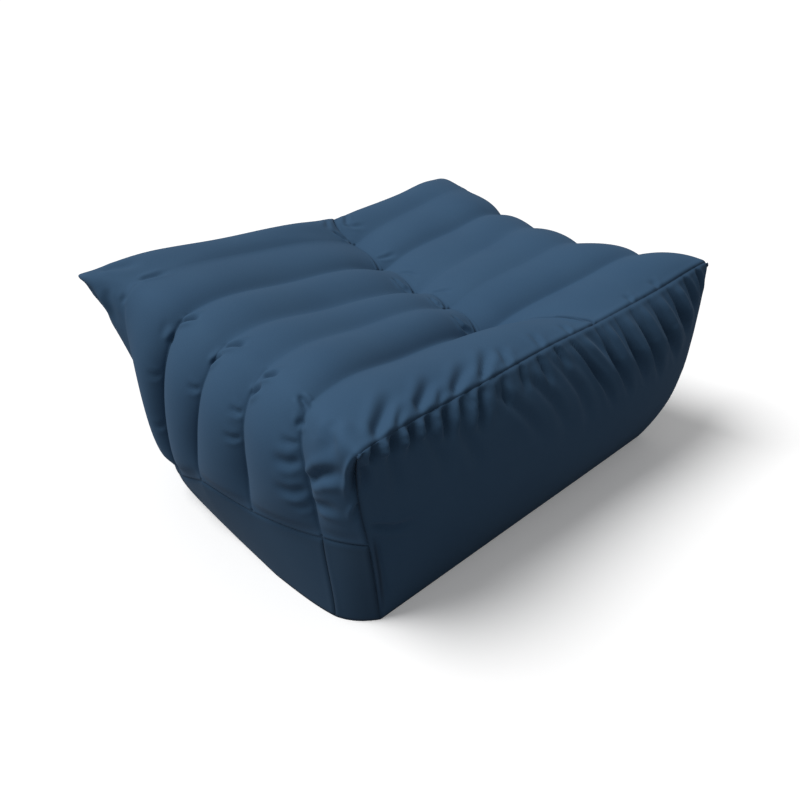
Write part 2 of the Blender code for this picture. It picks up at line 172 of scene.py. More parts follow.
# %% Profiles from the floor to the crest and over the top
# Columns: share of the run, y and z at the middle, y and z at the corner seam, half width,
# share of the width that each outer channel takes, and how far a channel stands out.
FRONT = np.array([
    (0.00, -0.464, 0.000, -0.404, 0.000, 0.345, 0.116, 0.000),
    (0.18, -0.468, 0.076, -0.419, 0.090, 0.350, 0.114, 0.004),
    (0.36, -0.470, 0.150, -0.438, 0.180, 0.356, 0.112, 0.009),
    (0.55, -0.468, 0.222, -0.454, 0.250, 0.360, 0.116, 0.030),
    (0.75, -0.466, 0.298, -0.468, 0.318, 0.368, 0.130, 0.036),
    (0.90, -0.454, 0.352, -0.478, 0.372, 0.380, 0.148, 0.036),
    (1.00, -0.424, 0.384, -0.487, 0.407, 0.390, 0.156, 0.036),
])
BACK = np.array([
    (0.00, 0.430, 0.000, 0.408, 0.000, 0.350, 0.120, 0.000),
    (0.18, 0.458, 0.070, 0.455, 0.080, 0.378, 0.122, 0.004),
    (0.36, 0.472, 0.140, 0.480, 0.160, 0.388, 0.126, 0.009),
    (0.55, 0.478, 0.212, 0.490, 0.236, 0.390, 0.138, 0.028),
    (0.75, 0.474, 0.286, 0.494, 0.308, 0.390, 0.148, 0.034),
    (0.90, 0.460, 0.338, 0.498, 0.364, 0.390, 0.154, 0.034),
    (1.00, 0.428, 0.377, 0.502, 0.405, 0.391, 0.156, 0.034),
])
TOP = np.array([
    (0.00, -0.424, 0.384, -0.487, 0.407, 0.390, 0.156, 0.036),
    (0.08, -0.368, 0.396, -0.405, 0.404, 0.382, 0.156, 0.036),
    (0.28, -0.200, 0.378, -0.210, 0.398, 0.374, 0.156, 0.036),
    (0.42, -0.050, 0.359, 0.010, 0.393, 0.366, 0.158, 0.036),
    (0.50, 0.040, 0.334, 0.130, 0.387, 0.364, 0.160, 0.033),
    (0.58, 0.112, 0.353, 0.205, 0.388, 0.367, 0.158, 0.034),
    (0.78, 0.262, 0.376, 0.350, 0.392, 0.377, 0.156, 0.036),
    (0.93, 0.375, 0.390, 0.450, 0.401, 0.386, 0.156, 0.036),
    (1.00, 0.428, 0.377, 0.502, 0.405, 0.391, 0.156, 0.034),
])
TABLES = {"front": FRONT, "top": TOP, "back": BACK}
CHANNELS = 6
BASE_SEAM = 0.36
MIDDLE = np.array([0.00256, 0.01128, 0.0])
print("Profiles:", {face: len(rows) for face, rows in TABLES.items()})

# %% How far each sewn line strays
# One row for each seam line from the left corner to the right one.
LINE_COLUMNS = (
    "crest_x", "crest_y", "crest_z", "mid_x", "mid_y", "mid_z",
    "back_x", "back_y", "back_z", "belly_x", "belly_y",
    "base_x", "base_y", "base_z", "foot_x", "foot_y",
)
LINES = np.array([
    (-0.011, -0.007, 0.033, 0.000, 0.000, 0.022, 0.000, -0.008, 0.012, 0.060, 0.078,
     0.000, 0.000, -0.095, 0.000, 0.030),
    (0.005, 0.000, 0.026, -0.020, 0.050, 0.017, 0.000, 0.042, 0.018, 0.008, 0.014,
     0.006, 0.024, -0.108, 0.000, 0.035),
    (0.000, 0.000, 0.020, -0.026, 0.032, 0.013, 0.005, 0.032, 0.010, -0.014, 0.000,
     -0.024, 0.004, -0.088, 0.000, 0.022),
    (-0.010, -0.005, 0.008, -0.012, 0.000, 0.004, 0.000, 0.008, 0.006, -0.004, 0.000,
     -0.052, -0.016, -0.024, 0.000, 0.010),
    (-0.020, -0.010, 0.008, -0.030, -0.020, 0.014, -0.008, -0.012, 0.008, 0.000, 0.000,
     -0.040, -0.008, -0.018, 0.000, 0.000),
    (-0.022, -0.012, 0.016, -0.060, -0.040, -0.010, -0.004, 0.004, 0.018, 0.016, 0.000,
     -0.018, 0.000, 0.006, 0.020, 0.000),
    (0.000, 0.000, 0.000, 0.000, 0.000, 0.000, 0.000, 0.004, 0.010, 0.000, 0.000,
     0.000, 0.000, 0.012, 0.000, 0.000),
])
# How far the mid seam bows towards the back and up within each channel
MID_SEAM_BOW = np.array([0.000, 0.004, 0.010, 0.010, 0.014, 0.048])
MID_SEAM_RISE = np.array([0.000, 0.000, 0.000, 0.000, 0.000, 0.013])
# Share of the puff by which the filling lifts each seam line's valley, on the two faces, on the
# front half of the top and on its back half
VALLEY_FILL = np.array([
    (0.00, 0.00, 0.00),
    (0.10, 0.90, 0.75),
    (0.10, 0.32, 0.16),
    (0.05, 0.34, 0.62),
    (0.05, 0.48, 0.58),
    (0.20, 0.18, 0.12),
    (0.00, 0.00, 0.00),
])
# Fullness of each channel on the faces, on the front half of the top and on the back half
FULLNESS = np.array([
    (0.90, 1.32, 0.95),
    (1.52, 1.05, 0.85),
    (1.00, 1.00, 0.68),
    (1.00, 1.00, 0.85),
    (1.00, 1.00, 0.78),
    (0.50, 0.74, 0.62),
])
print("Seam lines:", len(LINES), "channels:", len(FULLNESS))


def channel_of(across):
    """Number of the channel that a place across the cover lies in."""
    return np.clip(np.floor(across).astype(int), 0, CHANNELS - 1)


# %% A smooth curve through the rows of a profile
def ease(share):
    """Smooth step from 0 to 1."""
    share = np.clip(share, 0.0, 1.0)
    return share * share * (3.0 - 2.0 * share)


def between(start, end, share):
    """Straight blend of two values or arrays."""
    return start + (end - start) * share


def unit(vectors):
    """Vectors brought to length 1."""
    return vectors / np.linalg.norm(vectors, axis=-1, keepdims=True)


def through_rows(table, place):
    """Smooth curve through a table's rows, whose first column is the place."""
    knots = table[:, 0]
    values = table[:, 1:]
    spans = np.diff(knots)[:, None]
    rates = np.diff(values, axis=0) / spans
    slopes = np.zeros_like(values)
    slopes[1:-1] = (rates[:-1] * spans[1:] + rates[1:] * spans[:-1]) / (spans[1:] + spans[:-1])
    slopes[0] = 2.0 * rates[0] - slopes[1]
    slopes[-1] = 2.0 * rates[-1] - slopes[-2]
    row = np.clip(np.searchsorted(knots, place, side="right") - 1, 0, len(knots) - 2)
    span = (knots[row + 1] - knots[row])[..., None]
    s = (place - knots[row])[..., None] / span
    from_start = (2 * s**3 - 3 * s**2 + 1) * values[row]
    from_start = from_start + (s**3 - 2 * s**2 + s) * span * slopes[row]
    from_end = (3 * s**2 - 2 * s**3) * values[row + 1]
    from_end = from_end + (s**3 - s**2) * span * slopes[row + 1]
    return from_start + from_end


print("Front crest at the middle:", through_rows(FRONT, np.array([1.0]))[0, :2])


# %% The cover without its channels
def line_shift(across, name):
    """A column of LINES, blended between the seam lines."""
    column = LINES[:, LINE_COLUMNS.index(name)]
    line = channel_of(across)
    return between(column[line], column[line + 1], across - line)


def line_weights(face, place):
    """How much each kind of shift in LINES counts along a face."""
    if face == "top":
        return {
            "crest": ease(1 - 2 * place),
            "mid": ease(1 - abs(2 * place - 1)),
            "back": ease(2 * place - 1),
        }
    near_crest = ease(place) ** 2.5
    if face == "back":
        return {"back": near_crest}
    belly = np.sin(np.pi * np.clip(place, 0, 1) ** 1.3) ** 1.2
    base = ease(place / BASE_SEAM) * ease((1 - place) / (1 - BASE_SEAM))
    return {"crest": near_crest, "belly": belly, "base": base, "foot": 1 - ease(place / 0.5)}


def powers(face, place):
    """Powers that hand over from the mid profile to the corner's, in plan and in height."""
    if face == "top":
        power = between(3.5, 6.0, ease(1 - abs(2 * place - 1)))
        return power, power
    return between(7.0, 3.5, place), between(2.0, 3.5, place)


def base_surface(face, across, place):
    """Points of the cover without its channels, and how far a channel stands out there."""
    mid_y, mid_z, side_y, side_z, half_width, outer, puff = np.moveaxis(
        through_rows(TABLES[face], place), -1, 0)
    inner = (1 - 2 * outer) / (CHANNELS - 2)
    share = outer + (across - 1) * inner
    share = np.where(across < 1, across * outer, share)
    share = np.where(across > CHANNELS - 1, 1 - (CHANNELS - across) * outer, share)
    off_centre = 2 * share - 1
    plan_power, height_power = powers(face, place)
    points = np.stack([
        off_centre * half_width,
        between(mid_y, side_y, abs(off_centre) ** plan_power),
        between(mid_z, side_z, abs(off_centre) ** height_power),
    ], axis=-1)
    for kind, weight in line_weights(face, place).items():
        for axis, letter in enumerate("xyz"):
            if kind + "_" + letter in LINE_COLUMNS:
                points[..., axis] += weight * line_shift(across, kind + "_" + letter)
    if face == "top":
        channel = channel_of(across)
        arch = np.sin(np.pi * (across - channel))
        near_mid = ease(1 - abs(2 * place - 1))
        points[..., 1] += MID_SEAM_BOW[channel] * near_mid * arch ** 0.6
        points[..., 2] += MID_SEAM_RISE[channel] * near_mid * arch ** 1.6
    return points, puff


# %% The channels
CREST_REACH_TOP = 0.14
CREST_REACH_FACE = 0.30
# Power of a channel's cross-section: 0.5 is a half ellipse, 1 is a flatter arc with open valleys
ROUND_ON_FACES = 0.70
ROUND_ON_TOP = 0.88
MID_SEAM_DIP = 0.12
MID_SEAM_WIDTH = 0.012


def outward(face, across, place):
    """Direction that leads out of the bag, square to the run of the channels."""
    step = 0.002
    before, _ = base_surface(face, across, np.clip(place - step, 0, 1))
    after, _ = base_surface(face, across, np.clip(place + step, 0, 1))
    run = after - before
    out = np.stack([np.zeros_like(place), -run[..., 2], run[..., 1]], axis=-1)
    return unit(-out if face == "back" else out)


def crest_blend(face, across, place):
    """Outward direction, shared by two faces where they meet at a crest."""
    out = outward(face, across, place)
    start, end = np.zeros_like(place), np.ones_like(place)
    if face == "top":
        near_front = 0.5 * ease(1 - place / CREST_REACH_TOP)
        near_back = 0.5 * ease(1 - (1 - place) / CREST_REACH_TOP)
        out = unit(between(out, outward("front", across, end), near_front[..., None]))
        return unit(between(out, outward("back", across, end), near_back[..., None]))
    top = outward("top", across, start if face == "front" else end)
    near_crest = 0.5 * ease(1 - (1 - place) / CREST_REACH_FACE)
    return unit(between(out, top, near_crest[..., None]))


def fullness(face, across, place):
    """Each channel's own fullness along its run."""
    low, front, back = np.moveaxis(FULLNESS[channel_of(across)], -1, 0)
    at_crest = between(low, front, 0.5)
    if face == "front":
        return between(low, at_crest, ease(place))
    if face == "back":
        return between(low, back, ease(place))
    return np.where(place < 0.5, between(at_crest, front, ease(place / CREST_REACH_TOP)), back)


def valley_fill(face, across, place):
    """Share of the puff by which the filling lifts the valleys, blended between the lines."""
    line = channel_of(across)
    shares = between(VALLEY_FILL[line], VALLEY_FILL[line + 1], (across - line)[..., None])
    front, top_front, top_back = np.moveaxis(shares, -1, 0)
    if face != "top":
        at_crest = top_front if face == "front" else top_back
        return between(front, at_crest, ease(2 * place - 1))
    return between(top_front, top_back, ease((place - 0.5) / 0.2 + 0.5))


def cover(face, across, place, filled=1.0):
    """Points of the channelled cover. across counts the seam lines, 0 at the left corner."""
    points, puff = base_surface(face, across, place)
    in_channel = across - channel_of(across)
    near_top = 1.0 if face == "top" else ease(2 * place - 1)
    power = between(ROUND_ON_FACES, ROUND_ON_TOP, near_top)
    height = np.clip(1 - (2 * in_channel - 1) ** 2, 0, 1) ** power
    height = between(height, 1.0, valley_fill(face, across, place))
    height = height * puff * fullness(face, across, place) * filled
    if face == "top":
        dip = MID_SEAM_DIP * (1 - ease(across - CHANNELS + 1.1))
        height = height * (1 - dip * np.exp(-((place - 0.5) / MID_SEAM_WIDTH) ** 2))
    else:
        height = height * ease((place - BASE_SEAM) / 0.10)
    return points + crest_blend(face, across, place) * height[..., None] - MIDDLE


probe = cover("top", np.array([2.5]), np.array([0.25]))
print("Crown of the third channel at z =", round(float(probe[0, 2]), 3))

# %% [markdown]
# ## The side panels
# Each side is one flat piece that is sewn between the cover's two ends and the seam along the
# top, and the filling pushes it out. A patch that is blended between its four seams gives that
# shape exactly. Filling the hole with a face and subdividing it would leave the patch flat.

# %% Points of a side panel
# WIDEST_AT is a share of the height. BULGE_IS_BACK over 1 puts the widest place behind the middle
PANEL_BULGE = 0.060
WIDEST_AT = 0.74
BULGE_IS_BACK = 1.2


def side_panel(sign, along, rise, filled=1.0):
    """Points of a side panel: a patch between its four seams, pushed out by the filling."""
    across = np.full_like(along, CHANNELS if sign > 0 else 0.0)
    start, end = np.zeros_like(along), np.ones_like(along)
    a, b = along[..., None], rise[..., None]
    front, back = cover("front", across, rise), cover("back", across, rise)
    top = cover("top", across, along)
    front_foot, back_foot = cover("front", across, start), cover("back", across, start)
    front_ear, back_ear = cover("front", across, end), cover("back", across, end)
    foot = between(front_foot, back_foot, a)
    corners = between(between(front_foot, front_ear, b), between(back_foot, back_ear, b), a)
    points = between(front, back, a) + between(foot, top, b) - corners
    height = np.clip(points[..., 2] / top[..., 2], 0, 1)
    from_widest = np.where(height > WIDEST_AT, (height - WIDEST_AT) / (1 - WIDEST_AT),
                           1 - height / WIDEST_AT)
    lengthwise = np.sin(np.pi * along ** BULGE_IS_BACK) ** 0.55
    bulge = lengthwise * np.cos(0.5 * np.pi * from_widest) ** 0.9
    points[..., 0] += sign * PANEL_BULGE * bulge * filled
    return points


probe = side_panel(1, np.array([0.5]), np.array([0.5]))
print("Widest point of the right panel at x =", round(float(probe[0, 0]), 3))

# %% [markdown]
# ## One skin from all the pieces
# The filling presses on all pieces at once, so they are laid out as one skin first: a long
# strip of quads up the front, over the top and down the back, with a grid of quads on each
# side that shares the strip's edge points. The rows lie closer at the seams, where cloth bends
# most. A voxel remesh would blur those seams, so the quads are laid out instead.

# %% Rows and columns of the skin
COLUMNS_PER_CHANNEL = 20
ROWS_OVER_TOP = 120
ROWS_BELOW_SEAM = 9
ROWS_ABOVE_SEAM = 31
PUFF_BEFORE_FILLING = 0.90


def crowd_ends(count, amount):
    """Shares from 0 to 1, closer together at both ends."""
    even = np.linspace(0, 1, count + 1)
    return between(even, (1 - np.cos(np.pi * even)) / 2, amount)


in_channel = crowd_ends(COLUMNS_PER_CHANNEL, 0.55)[:-1]
across_stations = np.concatenate([k + in_channel for k in range(CHANNELS)] + [[CHANNELS]])
even_run = np.linspace(0, 1, ROWS_OVER_TOP + 1)
top_stations = even_run - 0.5 * np.sin(4 * np.pi * even_run) / (4 * np.pi)
rise_stations = np.concatenate([
    crowd_ends(ROWS_BELOW_SEAM, 0.4)[:-1] * BASE_SEAM,
    BASE_SEAM + crowd_ends(ROWS_ABOVE_SEAM, 0.3) * (1 - BASE_SEAM),
])
cover_rows = (
    [("front", place) for place in rise_stations]
    + [("top", place) for place in top_stations[1:]]
    + [("back", place) for place in rise_stations[-2::-1]]
)
FRONT_CREST = len(rise_stations) - 1
BACK_CREST = FRONT_CREST + ROWS_OVER_TOP
LAST_ROW = len(cover_rows) - 1
LAST_COLUMN = len(across_stations) - 1
print("Cover:", LAST_ROW, "rows of", LAST_COLUMN, "quads; panels:",
      ROWS_OVER_TOP, "by", len(rise_stations) - 1)


# %% Lay the cover and the panels
def cover_grid(filled):
    """Points of the whole cover, row by row from the front foot to the back foot."""
    grids = []
    for face, places in (("front", rise_stations), ("top", top_stations[1:]),
                         ("back", rise_stations[-2::-1])):
        across, place = np.meshgrid(across_stations, places)
        grids.append(cover(face, across, place, filled))
    return np.concatenate(grids)


def panel_grid(sign, filled):
    """Points of a side panel, by rise and then along."""
    along, rise = np.meshgrid(top_stations, rise_stations)
    return side_panel(sign, along, rise, filled)


def panel_numbers(column, first_free):
    """Vertex numbers of a panel's grid. Its seams use the cover's own edge vertices."""
    rises, runs = len(rise_stations), ROWS_OVER_TOP + 1
    numbers = np.zeros((rises, runs), dtype=int)
    inner = np.arange((rises - 1) * (runs - 2)).reshape(rises - 1, runs - 2)
    numbers[:-1, 1:-1] = first_free + inner
    width = LAST_COLUMN + 1
    numbers[:, 0] = np.arange(rises) * width + column
    numbers[-1, :] = (FRONT_CREST + np.arange(runs)) * width + column
    numbers[:, -1] = (LAST_ROW - np.arange(rises)) * width + column
    return numbers, first_free + inner.size


def smooth_rows(points, amount, passes):
    """Bring each row nearer the mean of its neighbours, by an amount from 0 to 1 a pass."""
    for _ in range(passes):
        smoother = points.copy()
        smoother[1:-1] = 0.25 * points[:-2] + 0.5 * points[1:-1] + 0.25 * points[2:]
        points = between(points, smoother, amount)
    return points


CREST_ROWS = 14
CREST_PASSES = 22


def soften_crests(points):
    """Round both crests over, most in the channels and least at the drawn-out left corners."""
    rows = np.arange(len(points))[:, None]
    from_crest = np.minimum(abs(rows - FRONT_CREST), abs(rows - BACK_CREST)) / CREST_ROWS
    keep_corner = 0.15 + 0.85 * ease((across_stations - 0.15) / 0.7)[None, :]
    amount = (ease(1.4 - 1.4 * from_crest) * keep_corner)[..., None]
    return smooth_rows(points, amount, CREST_PASSES)


cover_start = soften_crests(cover_grid(PUFF_BEFORE_FILLING))
grid_shape = cover_start.shape[:2]
cover_numbers = np.arange(grid_shape[0] * grid_shape[1]).reshape(grid_shape)
right_numbers, free = panel_numbers(LAST_COLUMN, cover_numbers.size)
left_numbers, vertex_count = panel_numbers(0, free)
print("Skin:", vertex_count, "points")


# %% Make the skin's mesh
def quads(numbers, flip=False):
    """The four corners of every quad of a grid of vertex numbers."""
    corners = [numbers[:-1, :-1], numbers[:-1, 1:], numbers[1:, 1:], numbers[1:, :-1]]
    return np.stack(corners[::-1] if flip else corners, axis=-1).reshape(-1, 4)


skin_points = np.zeros((vertex_count, 3))
skin_points[right_numbers] = panel_grid(1, PUFF_BEFORE_FILLING)
skin_points[left_numbers] = panel_grid(-1, PUFF_BEFORE_FILLING)
skin_points[cover_numbers] = cover_start
skin_faces = np.concatenate([
    quads(cover_numbers), quads(right_numbers), quads(left_numbers, flip=True)])
region_of_face = np.repeat(
    ["cover", "right", "left"],
    [(cover_numbers.shape[0] - 1) * LAST_COLUMN] + [ROWS_OVER_TOP * (len(rise_stations) - 1)] * 2)
skin_mesh = bpy.data.meshes.new("skin")
skin_mesh.from_pydata(skin_points.tolist(), [], skin_faces.tolist())
skin = add_object("skin", skin_mesh)
print("Skin:", len(skin_mesh.polygons), "quads")

# %% [markdown]
# ## Marks on the skin
# Later steps have to know where on the cloth they are: how far across and along the cover,
# how far up a panel, and which points are sewn. These marks are kept as attributes of the
# mesh, because attributes are carried through a subdivision where vertex numbers are not.

# %% Write the marks
REGIONS = {"cover": 0, "right": 1, "left": 2}
row_place = np.array([place for _, place in cover_rows])
row_face = np.array([{"front": 0.0, "top": 1.0, "back": 2.0}[face] for face, _ in cover_rows])
# On the strip one number runs on: 0 to 1 up the front, 1 to 2 over the top, 2 to 3 down the back
row_run = np.where(row_face == 2.0, 3.0 - row_place, row_face + row_place)


def write_mark(mesh, name, values, domain="POINT"):
    """Store one number for each point or face."""
    kind = "INT" if domain == "FACE" else "FLOAT"
    mark = mesh.attributes.new(name, kind, domain)
    mark.data.foreach_set("value", values)


def read_mark(mesh, name):
    """Read back one number for each point or face."""
    mark = mesh.attributes[name]
    values = np.zeros(len(mark.data))
    mark.data.foreach_get("value", values)
    return values


across_mark = np.zeros(vertex_count)
run_mark = np.zeros(vertex_count)
along_mark = np.zeros(vertex_count)
rise_mark = np.zeros(vertex_count)
across_mark[cover_numbers] = across_stations[None, :]
run_mark[cover_numbers] = row_run[:, None]
for numbers in (right_numbers, left_numbers):
    along_mark[numbers] = top_stations[None, :]
    rise_mark[numbers] = rise_stations[:, None]
for name, values in (("across", across_mark), ("run", run_mark),
                     ("along", along_mark), ("rise", rise_mark)):
    write_mark(skin_mesh, name, values)
write_mark(skin_mesh, "region", np.array([REGIONS[r] for r in region_of_face]), "FACE")
print("Marks:", [a.name for a in skin_mesh.attributes if not a.name.startswith(".")])

# %% Find the sewn lines
valley_columns = [COLUMNS_PER_CHANNEL * k for k in range(CHANNELS + 1)]
base_row = ROWS_BELOW_SEAM
mid_row = FRONT_CREST + ROWS_OVER_TOP // 2
sewn = np.zeros(vertex_count, dtype=bool)
channelled = slice(base_row, LAST_ROW - base_row + 1)
full_length_columns = [0, COLUMNS_PER_CHANNEL, LAST_COLUMN - COLUMNS_PER_CHANNEL, LAST_COLUMN]
sewn[cover_numbers[channelled][:, valley_columns]] = True
sewn[cover_numbers[[0, base_row, mid_row, LAST_ROW - base_row, LAST_ROW], :]] = True
sewn[cover_numbers[:, full_length_columns]] = True
for numbers in (right_numbers, left_numbers):
    sewn[numbers[0, :]] = True
write_mark(skin_mesh, "sewn", sewn.astype(float))
print("Sewn points:", int(sewn.sum()))

# %% [markdown]
# ## Filling the bag
# Sewn lines hold and the cloth between them swells: that is what makes a channel. Blender's
# cloth does it with pressure inside and the sewn points pinned, and the cloth is let grow a
# little where the maker gathered it, so that it gathers here too. The move is capped, because
# the fitted outline has to stay.

# %% Blow up the skin
FILL_FRAMES = 20
PRESSURE = 4.0
GROWTH = 0.05
MOVE_CAP = 0.014
SPARE_STEPS = 10


def gathered(across, run, rise, on_panel):
    """How much spare cloth each point has, from 0 to 1."""
    outer = ease((across - 5.0) / 0.6) * (run > 0.5) * (run < 2.4)
    panel = ease((rise - 0.35) / 0.5)
    return np.where(on_panel, panel, 0.25 + 0.75 * outer)


def capped(moves, cap):
    """Moves shortened smoothly to a cap."""
    lengths = np.linalg.norm(moves, axis=-1, keepdims=True)
    return moves * np.tanh(lengths / cap) / np.maximum(lengths / cap, 1e-9)


def fill_with_beads(obj):
    """Let pressure swell the cloth between its sewn lines."""
    mesh = obj.data
    hold = obj.vertex_groups.new(name="sewn")
    hold.add(np.nonzero(sewn)[0].tolist(), 1.0, "REPLACE")
    spare = obj.vertex_groups.new(name="spare_cloth")
    on_panel = np.zeros(vertex_count, dtype=bool)
    on_panel[right_numbers[:-1, 1:-1]] = True
    on_panel[left_numbers[:-1, 1:-1]] = True
    amounts = gathered(across_mark, run_mark, rise_mark, on_panel)
    for level in range(SPARE_STEPS + 1):
        members = np.nonzero(np.round(amounts * SPARE_STEPS) == level)[0].tolist()
        if members:
            spare.add(members, level / SPARE_STEPS, "REPLACE")
    cloth = obj.modifiers.new("Cloth", "CLOTH")
    settings = cloth.settings
    settings.quality = 5
    settings.mass = 0.3
    settings.tension_stiffness = 15
    settings.compression_stiffness = 15
    settings.shear_stiffness = 5
    settings.bending_stiffness = 0.6
    settings.use_pressure = True
    settings.uniform_pressure_force = PRESSURE
    settings.vertex_group_mass = hold.name
    settings.vertex_group_shrink = spare.name
    settings.shrink_min = 0.0
    settings.shrink_max = -GROWTH
    settings.effector_weights.gravity = 0.0
    cloth.collision_settings.use_collision = False
    cloth.point_cache.frame_start = 1
    cloth.point_cache.frame_end = FILL_FRAMES
    for step in range(1, FILL_FRAMES + 1):
        bpy.context.scene.frame_set(step)
    graph = bpy.context.evaluated_depsgraph_get()
    filled = np.zeros(vertex_count * 3)
    obj.evaluated_get(graph).data.vertices.foreach_get("co", filled)
    obj.modifiers.remove(cloth)
    obj.vertex_groups.clear()
    bpy.context.scene.frame_set(1)
    moves = filled.reshape(-1, 3) - skin_points
    print("Cloth moved up to", round(float(np.linalg.norm(moves, axis=1).max()) * 1000, 1), "mm")
    return skin_points + capped(moves, MOVE_CAP)


VALLEY_PASSES = 12
SOFTNESS_ON_FACES = 0.08
HELD_BY_MID_SEAM = 0.75
# One for each seam line
VALLEY_SOFTNESS = np.array([0.30, 0.95, 0.45, 0.85, 0.85, 0.35, 0.30])


def soften_valleys(points):
    """Let the cloth lie in a soft curve over each valley on the top, where it is hardly pulled."""
    over_top = ease((row_run - 0.98) / 0.08) * ease((2.02 - row_run) / 0.08)
    softness = np.interp(across_stations, np.arange(CHANNELS + 1), VALLEY_SOFTNESS)
    loose = 1 - HELD_BY_MID_SEAM * np.exp(-((row_run - 1.5) / 0.03) ** 2)
    amount = between(SOFTNESS_ON_FACES, softness, over_top[:, None]) * loose[:, None]
    by_column = smooth_rows(np.swapaxes(points, 0, 1), amount.T[..., None], VALLEY_PASSES)
    return np.swapaxes(by_column, 0, 1)


filled_points = fill_with_beads(skin)
filled_points[cover_numbers] = soften_valleys(filled_points[cover_numbers])
skin_mesh.vertices.foreach_set("co", filled_points.ravel())
skin_mesh.update()
print("Filled skin, highest point:", round(float(filled_points[:, 2].max()), 3))

# %% [markdown]
# ## Finer cloth
# One subdivision rounds the simulated quads. The seams keep a crease there, or the smoothing
# would lift the valleys out of their stitches.

# %% Subdivide once, with creased seams
CREASE = 0.5
edge_ends = np.zeros(len(skin_mesh.edges) * 2, dtype=int)
skin_mesh.edges.foreach_get("vertices", edge_ends)
edge_ends = edge_ends.reshape(-1, 2)
crease = skin_mesh.attributes.new("crease_edge", "FLOAT", "EDGE")
crease.data.foreach_set("value", np.where(sewn[edge_ends].all(axis=1), CREASE, 0.0))


def apply_modifiers(obj):
    """Apply all of an object's modifiers, in order."""
    bpy.ops.object.select_all(action="DESELECT")
    obj.select_set(True)
    bpy.context.view_layer.objects.active = obj
    for modifier in list(obj.modifiers):
        bpy.ops.object.modifier_apply(modifier=modifier.name)


smoothing = skin.modifiers.new("Subdivision", "SUBSURF")
smoothing.levels = 1
smoothing.render_levels = 1
apply_modifiers(skin)
skin_mesh = skin.data
print("Finer skin:", len(skin_mesh.polygons), "quads")


# %% Points, directions and marks of the finer skin
def points_of(mesh):
    """Vertex positions as an array."""
    values = np.zeros(len(mesh.vertices) * 3)
    mesh.vertices.foreach_get("co", values)
    return values.reshape(-1, 3)


def directions_of(mesh):
    """Vertex normals as an array."""
    values = np.zeros(len(mesh.vertices) * 3)
    mesh.vertex_normals.foreach_get("vector", values)
    return values.reshape(-1, 3)


skin_at = points_of(skin_mesh)
across_at, run_at, along_at, rise_at, sewn_at = (
    read_mark(skin_mesh, name) for name in ("across", "run", "along", "rise", "sewn"))
face_regions = read_mark(skin_mesh, "region").astype(int)
in_region = {}
for name, number in REGIONS.items():
    corners = np.zeros(len(skin_mesh.loops), dtype=int)
    skin_mesh.loops.foreach_get("vertex_index", corners)
    used = np.zeros(len(skin_at), dtype=bool)
    used[corners[np.repeat(face_regions == number, 4)]] = True
    in_region[name] = used
print("Points by region:", {name: int(used.sum()) for name, used in in_region.items()})

# %% [markdown]
# ## Folds that hang from the seams
# Where gathered cloth meets a seam it falls into soft folds. Each fold is a line on the cloth
# with a depth and a width, named by where it starts and ends, so that one can be moved without
# touching the others. They are pressed into the mesh itself, not painted on as bump, because
# they change the shading at the size of a finger.

# %% Where a place on the cloth lies in space
def nearest_number(stations, value):
    """Place of a value among rising stations, as a fractional index."""
    return float(np.interp(value, stations, np.arange(len(stations))))


def on_grid(points, row, column):
    """Point between four grid points."""
    r, c = min(int(row), points.shape[0] - 2), min(int(column), points.shape[1] - 2)
    dr, dc = row - r, column - c
    near = between(points[r, c], points[r, c + 1], dc)
    far = between(points[r + 1, c], points[r + 1, c + 1], dc)
    return between(near, far, dr)


def on_cover(across, run):
    """Point of the filled cover. run is 0 to 1 on the front, to 2 on the top, to 3 on the back."""
    return on_grid(filled_points[cover_numbers], nearest_number(row_run, run),
                   nearest_number(across_stations, across))


def on_panel(along, rise, numbers=right_numbers):
    """Point of a filled side panel."""
    return on_grid(filled_points[numbers], nearest_number(rise_stations, rise),
                   nearest_number(top_stations, along))


print("Near ear:", on_cover(6, 1).round(3))


# %% Press a fold into the cloth
# A fold's lips rise beside it, at LIP_AT times its width. Creases under SHARP_CREASE also get
# painted shade in their colour, as a seam does.
LIP_HEIGHT = 0.40
LIP_AT = 1.9
FOLD_REACH = 4.0
FOLD_BLUNTNESS = 0.25
WIDTH_AT_ENDS = (0.65, 1.25)
SHARP_CREASE = 0.005


def press_fold(line, depth, width, region):
    """Push points inward along a line. The fold is narrow where it starts at its seam."""
    line = np.array(line)
    starts, spans = line[:-1], np.diff(line, axis=0)
    lengths = np.linalg.norm(spans, axis=1)
    before = np.concatenate([[0], np.cumsum(lengths)])
    reach = FOLD_REACH * width
    low, high = line.min(axis=0) - reach, line.max(axis=0) + reach
    near = np.nonzero(in_region[region] & ((skin_at > low) & (skin_at < high)).all(axis=1))[0]
    if not len(near):
        return
    best = np.full(len(near), np.inf)
    share = np.zeros(len(near))
    for start, span, length, passed in zip(starts, spans, lengths, before):
        offset = skin_at[near] - start
        t = np.clip(offset @ span / length**2, 0, 1)
        distance = np.linalg.norm(offset - t[:, None] * span, axis=1)
        closer = distance < best
        best = np.where(closer, distance, best)
        share = np.where(closer, (passed + t * length) / before[-1], share)
    taper = ease(share / FOLD_BLUNTNESS + 0.15) * ease((1 - share) / FOLD_BLUNTNESS / 2)
    spread = width * between(*WIDTH_AT_ENDS, share)
    lips = LIP_HEIGHT * np.exp(-((best - LIP_AT * spread) / spread) ** 2)
    groove = np.exp(-(best / spread) ** 2) - lips
    moves[near] -= skin_out[near] * (depth * taper * groove)[:, None]
    # Narrow creases get painted shade in the cloth's colour
    if width < SHARP_CREASE:
        crease_shade[near] = np.maximum(crease_shade[near], taper * np.exp(-(best / width) ** 2))


moves = np.zeros_like(skin_at)
crease_shade = np.zeros(len(skin_at))
skin_out = directions_of(skin_mesh)

